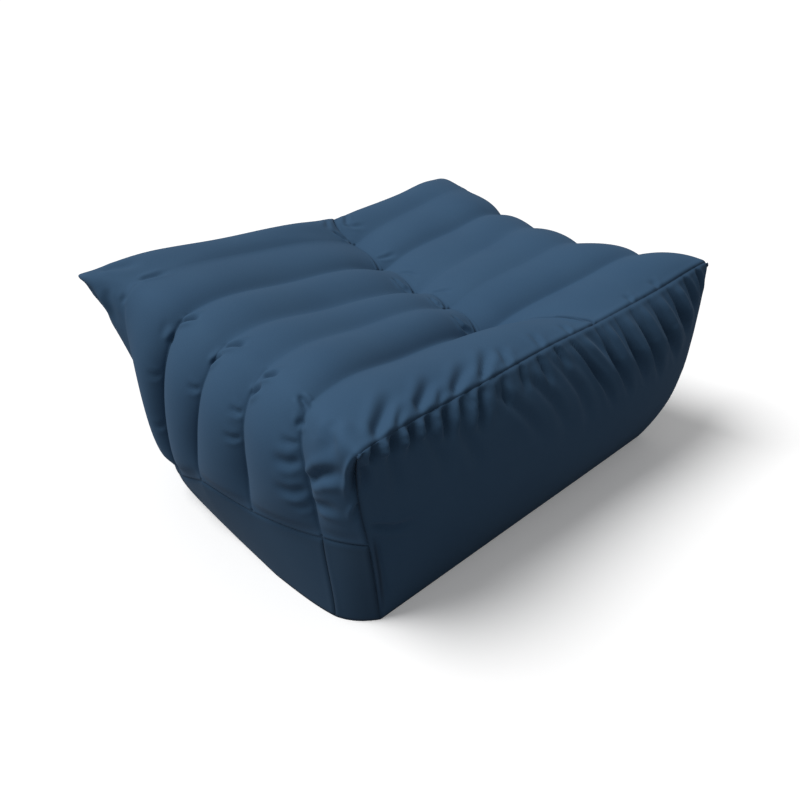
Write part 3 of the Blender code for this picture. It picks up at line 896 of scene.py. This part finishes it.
# %% Name the folds on the cover
# Each row: points on the cover as (across, run), then depth and width in metres
COVER_FOLDS = [
    # Puckers of the outer channel, up from the side seam
    ([(5.99, 1.040), (5.88, 1.06), (5.60, 1.135)], 0.0085, 0.0110),
    ([(5.99, 1.085), (5.92, 1.10), (5.80, 1.130)], 0.0040, 0.0065),
    ([(5.99, 1.145), (5.90, 1.15), (5.66, 1.220)], 0.0076, 0.0100),
    ([(5.99, 1.190), (5.93, 1.20), (5.84, 1.215)], 0.0032, 0.0062),
    ([(5.99, 1.228), (5.90, 1.24), (5.70, 1.290)], 0.0070, 0.0095),
    ([(5.99, 1.285), (5.86, 1.30), (5.64, 1.335)], 0.0075, 0.0085),
    ([(5.99, 1.335), (5.88, 1.335), (5.70, 1.345)], 0.0065, 0.0078),
    ([(5.99, 1.395), (5.88, 1.395), (5.74, 1.402)], 0.0050, 0.0070),
    ([(5.99, 1.450), (5.90, 1.450), (5.80, 1.455)], 0.0040, 0.0065),
    ([(5.99, 1.640), (5.92, 1.645), (5.84, 1.650)], 0.0035, 0.0065),
    ([(5.99, 1.760), (5.92, 1.765), (5.82, 1.775)], 0.0035, 0.0070),
    # Puckers and short arcs where the mid seam pulls
    ([(0.10, 1.540), (0.40, 1.540), (0.70, 1.555)], 0.0036, 0.0065),
    ([(0.20, 1.480), (0.46, 1.470), (0.66, 1.455)], 0.0024, 0.0065),
    ([(0.40, 1.525), (0.60, 1.550), (0.84, 1.580)], 0.0030, 0.0060),
    ([(0.66, 1.470), (0.86, 1.480), (1.00, 1.500)], 0.0045, 0.0062),
    ([(2.62, 1.462), (2.84, 1.472), (2.98, 1.497)], 0.0065, 0.0058),
    ([(3.62, 1.470), (3.86, 1.476), (3.98, 1.497)], 0.0035, 0.0058),
    ([(4.52, 1.452), (4.80, 1.462), (4.97, 1.492)], 0.0065, 0.0060),
    ([(1.72, 1.515), (1.82, 1.540), (1.92, 1.575)], 0.0030, 0.0055),
    ([(2.30, 1.515), (2.52, 1.535), (2.78, 1.545)], 0.0030, 0.0055),
    ([(3.30, 1.515), (3.52, 1.535), (3.76, 1.550)], 0.0030, 0.0055),
    ([(5.26, 1.480), (5.40, 1.482), (5.54, 1.484), (5.70, 1.486)], 0.0065, 0.0042),
    ([(5.58, 1.484), (5.74, 1.487), (5.87, 1.492), (5.99, 1.499)], 0.0068, 0.0042),
    # Tufts, where the stitching of a valley draws the crest in
    ([(0.94, 1.030), (1.00, 1.055), (1.06, 1.085)], 0.0045, 0.0065),
    ([(0.88, 0.955), (0.92, 0.975), (0.96, 0.995)], 0.0020, 0.0060),
    ([(1.94, 0.915), (1.96, 0.945), (1.99, 0.985)], -0.0035, 0.0080),
    ([(2.02, 1.000), (2.18, 1.012), (2.36, 1.030)], 0.0125, 0.0066),
    ([(3.00, 0.940), (3.08, 0.975), (3.14, 1.005)], 0.0100, 0.0070),
    ([(3.06, 1.005), (3.24, 1.022), (3.46, 1.040)], 0.0125, 0.0068),
    ([(4.02, 0.925), (4.10, 0.955), (4.16, 0.985)], 0.0095, 0.0070),
    ([(4.04, 1.000), (4.20, 1.010), (4.38, 1.022)], 0.0085, 0.0060),
    ([(4.84, 1.008), (4.96, 1.003), (5.06, 0.992)], 0.0065, 0.0062),
    ([(4.94, 0.910), (4.98, 0.935), (5.01, 0.960)], 0.0035, 0.0065),
    # Front of the outer right channel: level creases and the soft upright hollow
    ([(5.02, 0.690), (5.45, 0.790), (5.92, 0.885)], 0.0110, 0.0105),
    ([(5.04, 0.570), (5.40, 0.610), (5.80, 0.640)], 0.0050, 0.0110),
    ([(5.50, 1.020), (5.60, 0.950), (5.62, 0.860)], 0.0060, 0.0140),
    ([(5.985, 0.985), (5.965, 0.860), (5.970, 0.660)], 0.0170, 0.0058),
    ([(5.99, 0.660), (5.96, 0.590), (5.975, 0.520)], 0.0070, 0.0058),
    # Right flank of the fifth channel
    ([(4.98, 0.850), (4.86, 0.845), (4.74, 0.850)], 0.0028, 0.0065),
    ([(4.98, 0.785), (4.84, 0.765), (4.62, 0.775)], 0.0044, 0.0095),
    ([(4.98, 0.655), (4.82, 0.630), (4.58, 0.645)], 0.0040, 0.0100),
    ([(4.98, 0.560), (4.86, 0.545), (4.74, 0.540)], 0.0018, 0.0080),
    # Softer ones on the flanks of the other channels
    ([(3.98, 0.860), (3.88, 0.850), (3.74, 0.855)], 0.0035, 0.0060),
    ([(3.98, 0.760), (3.86, 0.745), (3.70, 0.750)], 0.0030, 0.0060),
    ([(2.98, 0.840), (2.88, 0.830), (2.76, 0.835)], 0.0030, 0.0060),
    ([(1.98, 0.800), (1.88, 0.790), (1.72, 0.795)], 0.0028, 0.0060),
    ([(1.98, 0.620), (1.86, 0.605), (1.70, 0.610)], 0.0025, 0.0060),
    # The left ear: its hollow and the fold across its root
    ([(0.06, 0.985), (0.26, 0.940), (0.46, 0.850)], 0.0100, 0.0150),
    ([(0.62, 0.990), (0.66, 0.930), (0.70, 0.860)], 0.0035, 0.0110),
    ([(0.30, 1.030), (0.52, 1.055), (0.66, 1.075)], 0.0050, 0.0110),
]
for line, depth, width in COVER_FOLDS:
    press_fold([on_cover(*place) for place in line], depth, width, "cover")
print("Folds on the cover:", len(COVER_FOLDS))

# %% Name the folds on the right panel
# Each row: points on the panel as (along, rise), then depth and width in metres
PANEL_FOLDS = [
    # Short tucks right under the seam
    ([(0.035, 0.995), (0.030, 0.950), (0.028, 0.88)], 0.0110, 0.0085),
    ([(0.078, 0.995), (0.072, 0.945), (0.070, 0.87)], 0.0115, 0.0085),
    ([(0.118, 0.995), (0.112, 0.930), (0.108, 0.84)], 0.0100, 0.0085),
    ([(0.160, 0.995), (0.155, 0.950), (0.152, 0.90)], 0.0080, 0.0070),
    ([(0.205, 0.995), (0.195, 0.920), (0.188, 0.80)], 0.0120, 0.0090),
    ([(0.245, 0.995), (0.238, 0.950), (0.232, 0.88)], 0.0085, 0.0070),
    ([(0.285, 0.995), (0.270, 0.910), (0.258, 0.77)], 0.0120, 0.0095),
    ([(0.322, 0.995), (0.318, 0.930), (0.318, 0.83)], 0.0100, 0.0075),
    ([(0.352, 0.995), (0.350, 0.945), (0.352, 0.86)], 0.0090, 0.0070),
    ([(0.382, 0.995), (0.386, 0.935), (0.396, 0.83)], 0.0095, 0.0075),
    ([(0.412, 0.995), (0.420, 0.945), (0.434, 0.86)], 0.0085, 0.0070),
    # Long slanting folds of the gathered cloth
    ([(0.440, 0.995), (0.485, 0.800), (0.600, 0.47)], 0.0115, 0.0072),
    ([(0.498, 0.995), (0.545, 0.790), (0.660, 0.48)], 0.0110, 0.0070),
    ([(0.560, 0.995), (0.615, 0.790), (0.725, 0.50)], 0.0115, 0.0070),
    ([(0.618, 0.995), (0.680, 0.780), (0.805, 0.47)], 0.0125, 0.0078),
    ([(0.695, 0.995), (0.765, 0.790), (0.890, 0.51)], 0.0125, 0.0078),
    ([(0.785, 0.995), (0.845, 0.830), (0.930, 0.61)], 0.0110, 0.0074),
    ([(0.870, 0.995), (0.905, 0.900), (0.950, 0.74)], 0.0085, 0.0070),
    ([(0.932, 0.995), (0.955, 0.920), (0.978, 0.80)], 0.0080, 0.0066),
    # Raised edges of the tucks and of the long folds, which catch the light
    ([(0.056, 1.000), (0.052, 0.960), (0.046, 0.900)], -0.0085, 0.0075),
    ([(0.098, 1.000), (0.094, 0.955), (0.088, 0.890)], -0.0080, 0.0075),
    ([(0.140, 1.000), (0.134, 0.950), (0.126, 0.880)], -0.0065, 0.0075),
    ([(0.182, 1.000), (0.174, 0.940), (0.165, 0.860)], -0.0060, 0.0075),
    ([(0.228, 1.000), (0.218, 0.930), (0.208, 0.830)], -0.0065, 0.0080),
    ([(0.268, 1.000), (0.256, 0.920), (0.245, 0.810)], -0.0060, 0.0080),
    ([(0.305, 1.000), (0.296, 0.930), (0.290, 0.830)], -0.0055, 0.0075),
    ([(0.462, 0.985), (0.505, 0.830), (0.605, 0.540)], -0.0090, 0.0120),
    ([(0.525, 0.985), (0.575, 0.810), (0.670, 0.540)], -0.0090, 0.0120),
    ([(0.588, 0.985), (0.645, 0.800), (0.735, 0.560)], -0.0090, 0.0120),
    ([(0.655, 0.985), (0.720, 0.800), (0.820, 0.530)], -0.0100, 0.0135),
    ([(0.735, 0.985), (0.805, 0.800), (0.905, 0.560)], -0.0100, 0.0135),
    ([(0.825, 0.985), (0.875, 0.850), (0.938, 0.680)], -0.0090, 0.0120),
    # Long soft folds that hang in the middle and at the front, hardly pressed
    ([(0.300, 0.960), (0.345, 0.760), (0.400, 0.48)], 0.0060, 0.0110),
    ([(0.352, 0.960), (0.398, 0.750), (0.455, 0.46)], 0.0065, 0.0110),
    ([(0.402, 0.960), (0.452, 0.740), (0.520, 0.44)], 0.0070, 0.0110),
    ([(0.150, 0.930), (0.165, 0.760), (0.180, 0.56)], 0.0045, 0.0120),
    ([(0.215, 0.930), (0.235, 0.740), (0.262, 0.52)], 0.0050, 0.0120),
    ([(0.060, 0.930), (0.066, 0.780), (0.072, 0.60)], 0.0040, 0.0110),
    # Where the panel meets the front corner, and the rounded strip down its front edge
    ([(0.010, 0.420), (0.008, 0.200), (0.008, 0.000)], -0.0040, 0.0045),
    ([(0.008, 0.490), (0.050, 0.425), (0.110, 0.40)], 0.0050, 0.0080),
    ([(0.006, 0.960), (0.012, 0.850), (0.010, 0.70)], 0.0080, 0.0080),
]
for line, depth, width in PANEL_FOLDS:
    press_fold([on_panel(*place) for place in line], depth, width, "right")
    press_fold([on_panel(*place, left_numbers) for place in line], depth, width, "left")
print("Folds on each panel:", len(PANEL_FOLDS))

# %% Draw the seams in
# Each sewn line is a narrow groove with the folded allowance lifting the cloth beside it
SEAM_GROOVE = 0.0026
SEAM_WIDTH = 0.0028
ALLOWANCE_LIFT = 0.0008
ALLOWANCE_AT = 0.0080
ALLOWANCE_WIDTH = 0.0050
SHADE_WIDTH = 0.0040
CREASE_SHADE = 1.6
# How strongly each kind of sewn line shows
VALLEY_ON_FACES = 0.25
VALLEY_ON_TOP = 0.04
MID_SEAM_PULL = 1.3
BASE_SEAM_PULL = 0.7

seam_points = np.nonzero(sewn_at > 0.99)[0]
tree = KDTree(len(seam_points))
for number in seam_points:
    tree.insert(skin_at[number], int(number))
tree.balance()
seam_distance = np.array([tree.find(point)[2] for point in skin_at])
valley = (run_at > BASE_SEAM + 0.02) & (run_at < 2.98 - BASE_SEAM) & (across_at > 0.5)
valley &= (across_at < CHANNELS - 0.5) & (abs(run_at - 1.5) > 0.01)
in_valley = np.where((run_at > 1.02) & (run_at < 1.98), VALLEY_ON_TOP, VALLEY_ON_FACES)
strength = np.where(valley, in_valley, 1.0)
mid_pull = MID_SEAM_PULL * between(0.4, 1.0, ease((across_at - 0.6) / 0.8))
strength = np.where(abs(run_at - 1.5) < 0.012, mid_pull, strength)
strength = np.where((run_at < BASE_SEAM + 0.01) & (run_at > 0.0), BASE_SEAM_PULL, strength)
groove = SEAM_GROOVE * strength * np.exp(-(seam_distance / SEAM_WIDTH) ** 2)
from_allowance = (seam_distance - ALLOWANCE_AT) / ALLOWANCE_WIDTH
lift = ALLOWANCE_LIFT * strength * np.exp(-from_allowance ** 2)
at_foot = skin_at[:, 2] < 0.004
moves += skin_out * (np.where(at_foot, 0.0, lift - groove))[:, None]
skin_at = skin_at + moves
skin_at[:, 2] = np.maximum(skin_at[:, 2], 0.0)
skin_mesh.vertices.foreach_set("co", skin_at.ravel())
skin_mesh.update()
# seam_shade is painted shade: the cloth is drawn darker along the seams and in sharp creases
along_seams = strength * np.exp(-(seam_distance / SHADE_WIDTH) ** 2)
write_mark(skin_mesh, "seam_shade", np.maximum(along_seams, CREASE_SHADE * crease_shade))
print("Deepest fold and seam:", round(float(np.linalg.norm(moves, axis=1).max()) * 1000, 1), "mm")

# %% [markdown]
# ## Lay out the cloth's own measure
# The weave has to follow the cloth, so each point gets its place on the flat cut, in metres.
# That is a UV map. On the cover it counts from the left seam and from the front foot, and on a
# panel from its front seam and from the foot.

# %% Measure the flat cut
def lengths_along(points):
    """Running length down a grid's middle column."""
    middle = points[:, points.shape[1] // 2]
    return np.concatenate([[0], np.cumsum(np.linalg.norm(np.diff(middle, axis=0), axis=1))])


cover_length = lengths_along(filled_points[cover_numbers])
cover_width = lengths_along(np.swapaxes(filled_points[cover_numbers], 0, 1))
panel_length = lengths_along(np.swapaxes(filled_points[right_numbers], 0, 1))
panel_height = lengths_along(filled_points[right_numbers])
flat_u = np.interp(across_at, across_stations, cover_width)
flat_v = np.interp(run_at, row_run, cover_length)
panel_u = np.interp(along_at, top_stations, panel_length)
panel_v = np.interp(rise_at, rise_stations, panel_height)
print("Cover", round(cover_width[-1], 3), "by", round(cover_length[-1], 3), "m; panel",
      round(panel_length[-1], 3), "by", round(panel_height[-1], 3), "m")

# %% Write the flat cut as a UV map
cloth_map = skin_mesh.uv_layers.new(name="flat_cut")
loop_points = np.zeros(len(skin_mesh.loops), dtype=int)
skin_mesh.loops.foreach_get("vertex_index", loop_points)
loop_is_cover = np.repeat(face_regions == REGIONS["cover"], 4)
loop_u = np.where(loop_is_cover, flat_u[loop_points], panel_u[loop_points])
loop_v = np.where(loop_is_cover, flat_v[loop_points], panel_v[loop_points])
cloth_map.data.foreach_set("uv", np.stack([loop_u, loop_v], axis=-1).ravel())
print("UV map:", cloth_map.name)

# %% [markdown]
# ## Take the pieces apart again
# The skin is now cut along its seams into the pieces that a maker would sew: the channelled
# cover with its filling, two side panels, and the base bands in three pieces each.

# %% Which piece each face belongs to
loops_of_faces = loop_points.reshape(-1, 4)
face_across = across_at[loops_of_faces].mean(axis=1)
face_run = run_at[loops_of_faces].mean(axis=1)
low_front = face_run < BASE_SEAM
low_back = face_run > 3.0 - BASE_SEAM
is_cover = face_regions == REGIONS["cover"]
left_part, right_part = face_across < 1, face_across > CHANNELS - 1
middle_part = ~left_part & ~right_part
PIECES = {
    "cover_channels": is_cover,
    "panel_right": face_regions == REGIONS["right"],
    "panel_left": face_regions == REGIONS["left"],
    "band_front": is_cover & low_front & middle_part,
    "band_front_left": is_cover & low_front & left_part,
    "band_front_right": is_cover & low_front & right_part,
    "band_back": is_cover & low_back & middle_part,
    "band_back_left": is_cover & low_back & left_part,
    "band_back_right": is_cover & low_back & right_part,
}
print("Quads by piece:", {name: int(faces.sum()) for name, faces in PIECES.items()})


# %% Cut a piece out of the skin
def cut_out(name, faces):
    """A new object with the given faces of the skin."""
    mesh = skin_mesh.copy()
    mesh.name = name
    piece = add_object(name, mesh)
    bm = bmesh.new()
    bm.from_mesh(mesh)
    bm.faces.ensure_lookup_table()
    unwanted = [bm.faces[number] for number in np.nonzero(~faces)[0]]
    bmesh.ops.delete(bm, geom=unwanted, context="FACES")
    bm.to_mesh(mesh)
    bm.free()
    mesh.shade_smooth()
    return piece


cut_pieces = {name: cut_out(name, faces) for name, faces in PIECES.items()}
bpy.data.objects.remove(skin, do_unlink=True)
print("Cut pieces:", list(cut_pieces))

# %% Set the bag back behind its bands
# The bag goes on down behind the bands, a little inside them, to its flat bottom
SET_BACK = 0.0032


def set_back_lower_walls(piece):
    """Push the bag's lower walls in behind the bands."""
    mesh = piece.data
    run = read_mark(mesh, "run")
    places = points_of(mesh)
    front_wall = ease((BASE_SEAM - run) / 0.02)
    back_wall = ease((run - 3.0 + BASE_SEAM) / 0.02)
    places[:, 1] += SET_BACK * (front_wall - back_wall)
    mesh.vertices.foreach_set("co", places.ravel())
    mesh.update()


set_back_lower_walls(cut_pieces["cover_channels"])
print("Lower walls set back by", SET_BACK * 1000, "mm")

# %% Close the bag's sides and bottom
# Each open side edge is turned in behind the panel, and the holes are closed there and below
TURN_IN = 0.010
TURNED_SIZE = 0.985


def close_bag(piece):
    """Turn the cover's side edges in, then close both sides and the bottom."""
    bm = bmesh.new()
    bm.from_mesh(piece.data)
    across = bm.verts.layers.float["across"]
    run = bm.verts.layers.float["run"]
    turned = {}
    for side, sign in ((0.0, -1), (float(CHANNELS), 1)):
        edges = [e for e in bm.edges if e.is_boundary
                 and all(abs(v[across] - side) < 1e-4 for v in e.verts)]
        for edge in edges:
            edge.smooth = False
        made = bmesh.ops.extrude_edge_only(bm, edges=edges)["geom"]
        ring = [item for item in made if isinstance(item, bmesh.types.BMVert)]
        for vert in ring:
            vert.co.x -= sign * TURN_IN
            vert.co.y *= TURNED_SIZE
            vert.co.z *= TURNED_SIZE
        ring.sort(key=lambda vert: vert[run])
        turned[sign] = ring
        bm.faces.new(ring)
    foot_rows = []
    for end in (0.0, 3.0):
        row = [v for v in bm.verts if v.is_boundary and abs(v[run] - end) < 1e-4
               and v not in turned[1] and v not in turned[-1]]
        foot_rows.append(sorted(row, key=lambda vert: vert[across]))
    front_row, back_row = foot_rows
    loop = ([turned[-1][0]] + front_row + [turned[1][0], turned[1][-1]]
            + back_row[::-1] + [turned[-1][-1]])
    bm.faces.new(loop)
    bmesh.ops.recalc_face_normals(bm, faces=bm.faces)
    open_edges = sum(edge.is_boundary for edge in bm.edges)
    bm.to_mesh(piece.data)
    bm.free()
    return open_edges


print("Open edges left on the bag:", close_bag(cut_pieces["cover_channels"]))

# %% Give the sheets their thickness
CLOTH_THICKNESS = 0.0022
for name, piece in cut_pieces.items():
    if name != "cover_channels":
        wall = piece.modifiers.new("Thickness", "SOLIDIFY")
        wall.thickness = CLOTH_THICKNESS
        wall.offset = -1.0
        apply_modifiers(piece)
        places = points_of(piece.data)
        places[:, 2] = np.maximum(places[:, 2], 0.0)
        piece.data.vertices.foreach_set("co", places.ravel())
print("Panel faces:", len(cut_pieces["panel_right"].data.polygons))

# %% [markdown]
# ## The cloth
# The cover is a smooth, close woven blue upholstery cloth. Its look comes from four things: a
# fine weave, a soft uneven dye, a slightly paler nap of random tone, and painted shade in the
# seams and in sharp creases. The painted shade also holds the pale nap back there, so the seams
# stay darker still. They are one node group with its own values for each piece, and the sheen of
# the nap is set on the shader itself.

# %% A node group for the woven cloth
def woven_cloth_group():
    """Colour, roughness and height of a close weave, from the flat cut's own measure."""
    group = bpy.data.node_groups.new("woven_cloth", "ShaderNodeTree")
    # The pale nap's colour is a random tone, held back near the seams by the painted shade
    for name, kind, value in (
        ("Cloth Colour", "NodeSocketColor", (0.05, 0.10, 0.17, 1.0)),
        ("Worn Colour", "NodeSocketColor", (0.07, 0.13, 0.21, 1.0)),
        ("Threads", "NodeSocketFloat", 900.0),
        ("Unevenness", "NodeSocketFloat", 0.1),
        ("Seam Shade", "NodeSocketFloat", 0.3),
    ):
        socket = group.interface.new_socket(name, in_out="INPUT", socket_type=kind)
        socket.default_value = value
    for name, kind in (("Colour", "NodeSocketColor"), ("Roughness", "NodeSocketFloat"),
                       ("Height", "NodeSocketFloat")):
        group.interface.new_socket(name, in_out="OUTPUT", socket_type=kind)
    return group


cloth_group = woven_cloth_group()
print("Inputs:", [item.name for item in cloth_group.interface.items_tree if item.in_out == "INPUT"])


# %% Wire the group
def wire(tree, source, target):
    """Link one socket to another."""
    tree.links.new(source, target)


def math_node(tree, operation, first, second):
    """A Math node on two values or sockets."""
    node = tree.nodes.new("ShaderNodeMath")
    node.operation = operation
    for socket, value in zip(node.inputs, (first, second)):
        if isinstance(value, (int, float)):
            socket.default_value = value
        else:
            wire(tree, value, socket)
    return node.outputs[0]


def noise_node(tree, coordinates, scale, detail):
    """A Noise texture on given coordinates."""
    node = tree.nodes.new("ShaderNodeTexNoise")
    node.inputs["Scale"].default_value = scale
    node.inputs["Detail"].default_value = detail
    wire(tree, coordinates, node.inputs["Vector"])
    return node.outputs["Fac"]


def mix_colour(tree, factor, first, second, blend="MIX"):
    """A Mix node on two colours."""
    node = tree.nodes.new("ShaderNodeMix")
    node.data_type = "RGBA"
    node.blend_type = blend
    for number, value in ((0, factor), (6, first), (7, second)):
        socket = node.inputs[number]
        if isinstance(value, (int, float, tuple)):
            socket.default_value = value
        else:
            wire(tree, value, socket)
    return node.outputs[2]


SLUB_SCALE = 420.0
DYE_SCALE = 9.0
# Colour of the painted shade in the seams and sharp creases
DEEP_SHADE = (0.008, 0.016, 0.028, 1.0)


def scaled(tree, socket, scale, start):
    """A value scaled and moved to a new start."""
    result = math_node(tree, "MULTIPLY_ADD", socket, scale)
    result.node.inputs[2].default_value = start
    return result


def fill_cloth_group(tree):
    """Weave, uneven dye, pale nap and painted seam shade inside the group; the painted shade also
    holds the nap back at the seams.
    """
    given = tree.nodes.new("NodeGroupInput").outputs
    result = tree.nodes.new("NodeGroupOutput").inputs
    flat = tree.nodes.new("ShaderNodeUVMap")
    flat.uv_map = "flat_cut"
    place = tree.nodes.new("ShaderNodeTexCoord").outputs["Object"]
    seam = tree.nodes.new("ShaderNodeAttribute")
    seam.attribute_name = "seam_shade"
    split = tree.nodes.new("ShaderNodeSeparateXYZ")
    wire(tree, flat.outputs["UV"], split.inputs[0])
    threads = [math_node(tree, "MULTIPLY", side, given["Threads"]) for side in split.outputs[:2]]
    warp, weft = [math_node(tree, "SINE", thread, 0.0) for thread in threads]
    weave = math_node(tree, "MULTIPLY", warp, weft)
    slub = noise_node(tree, place, SLUB_SCALE, 3.0)
    dye = noise_node(tree, place, DYE_SCALE, 4.0)
    # The pale nap is held back by the painted seam shade, so the seams and creases stay darker:
    # more painted shade
    unshaded_nap = math_node(tree, "SUBTRACT", 1.0, seam.outputs["Fac"])
    nap = math_node(tree, "MULTIPLY", math_node(tree, "MULTIPLY", dye, unshaded_nap), given["Unevenness"])
    colour = mix_colour(tree, nap, given["Cloth Colour"], given["Worn Colour"])
    grain = scaled(tree, slub, 0.16, 0.92)
    grey = tree.nodes.new("ShaderNodeCombineColor")
    for channel in range(3):
        wire(tree, grain, grey.inputs[channel])
    colour = mix_colour(tree, 1.0, colour, grey.outputs[0], "MULTIPLY")
    # Painted shade: the colour goes darker towards DEEP_SHADE along the seams and creases
    shade = math_node(tree, "MULTIPLY", seam.outputs["Fac"], given["Seam Shade"])
    colour = mix_colour(tree, shade, colour, DEEP_SHADE)
    wire(tree, colour, result["Colour"])
    wire(tree, scaled(tree, slub, 0.12, 0.80), result["Roughness"])
    height = math_node(tree, "MULTIPLY_ADD", weave, 0.35)
    wire(tree, slub, height.node.inputs[2])
    wire(tree, height, result["Height"])


fill_cloth_group(cloth_group)
print("Nodes in the group:", len(cloth_group.nodes))


# %% The three cloth finishes
def cloth_material(name, colour, unshaded_nap, unevenness, seam_shade):
    """A material that places the woven cloth group with its own values."""
    material = bpy.data.materials.new(name)
    material.use_nodes = True
    tree = material.node_tree
    shader = tree.nodes["Principled BSDF"]
    cloth = tree.nodes.new("ShaderNodeGroup")
    cloth.node_tree = cloth_group
    cloth.inputs["Cloth Colour"].default_value = colour
    # Colour of the pale nap, which the painted seam shade holds back near the seams
    cloth.inputs["Worn Colour"].default_value = unshaded_nap
    cloth.inputs["Unevenness"].default_value = unevenness
    cloth.inputs["Seam Shade"].default_value = seam_shade
    bump = tree.nodes.new("ShaderNodeBump")
    bump.inputs["Strength"].default_value = 0.12
    bump.inputs["Distance"].default_value = 0.0004
    wire(tree, cloth.outputs["Height"], bump.inputs["Height"])
    wire(tree, bump.outputs["Normal"], shader.inputs["Normal"])
    wire(tree, cloth.outputs["Colour"], shader.inputs["Base Color"])
    wire(tree, cloth.outputs["Roughness"], shader.inputs["Roughness"])
    shader.inputs["Specular IOR Level"].default_value = 0.15
    shader.inputs["Sheen Weight"].default_value = 0.07
    shader.inputs["Sheen Roughness"].default_value = 0.45
    shader.inputs["Sheen Tint"].default_value = (0.55, 0.72, 0.95, 1.0)
    return material


# The panels and bands are the same cloth as the channels. Their darker colours are painted shade:
# the panels are drawn about a tenth darker and the bands about a third darker, for the shade that
# falls on the upright sides and on the band round the foot.
FINISHES = {
    "cloth_channels": cloth_material(
        "channel_cloth", (0.035, 0.083, 0.155, 1.0), (0.051, 0.111, 0.190, 1.0), 0.5, 0.35),
    "cloth_sides": cloth_material(
        "panel_cloth", (0.031, 0.074, 0.139, 1.0), (0.047, 0.101, 0.172, 1.0), 0.5, 0.35),
    "cloth_base": cloth_material(
        "band_cloth", (0.023, 0.053, 0.098, 1.0), (0.034, 0.074, 0.126, 1.0), 0.5, 0.25),
}
print("Finishes:", list(FINISHES))

# %% [markdown]
# ## Hand each piece over to the frame
# Every piece rides on the one body, stands for its CAD node and takes its finish from the
# record's slot. The flat size of a sheet is the rectangle of cloth that it is cut from, as a
# maker would lay it out.

# %% Ride, replace and take a finish
# Node that each piece stands for, its slot, and a sheet's flat width and length
PIECE_FACTS = {
    "cover_channels": ("channelled_bag", "cloth_channels", None),
    "panel_right": ("side_panel_right", "cloth_sides", (1.00, 0.45)),
    "panel_left": ("side_panel_left", "cloth_sides", (1.00, 0.45)),
    "band_front": ("base_band_front", "cloth_base", (0.55, 0.17)),
    "band_front_left": ("base_corner_front_left", "cloth_base", (0.10, 0.18)),
    "band_front_right": ("base_corner_front_right", "cloth_base", (0.10, 0.18)),
    "band_back": ("base_band_back", "cloth_base", (0.58, 0.17)),
    "band_back_left": ("base_corner_back_left", "cloth_base", (0.11, 0.18)),
    "band_back_right": ("base_corner_back_right", "cloth_base", (0.11, 0.18)),
}
for name, (node, slot, flat) in PIECE_FACTS.items():
    piece = cut_pieces[name]
    piece.data.materials.clear()
    piece.data.materials.append(FINISHES[slot])
    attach(piece, "root")
    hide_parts(node)
print("Pieces:", len(PIECE_FACTS))

for name, (node, slot, flat) in PIECE_FACTS.items():
    if flat:
        piece = cut_pieces[name]
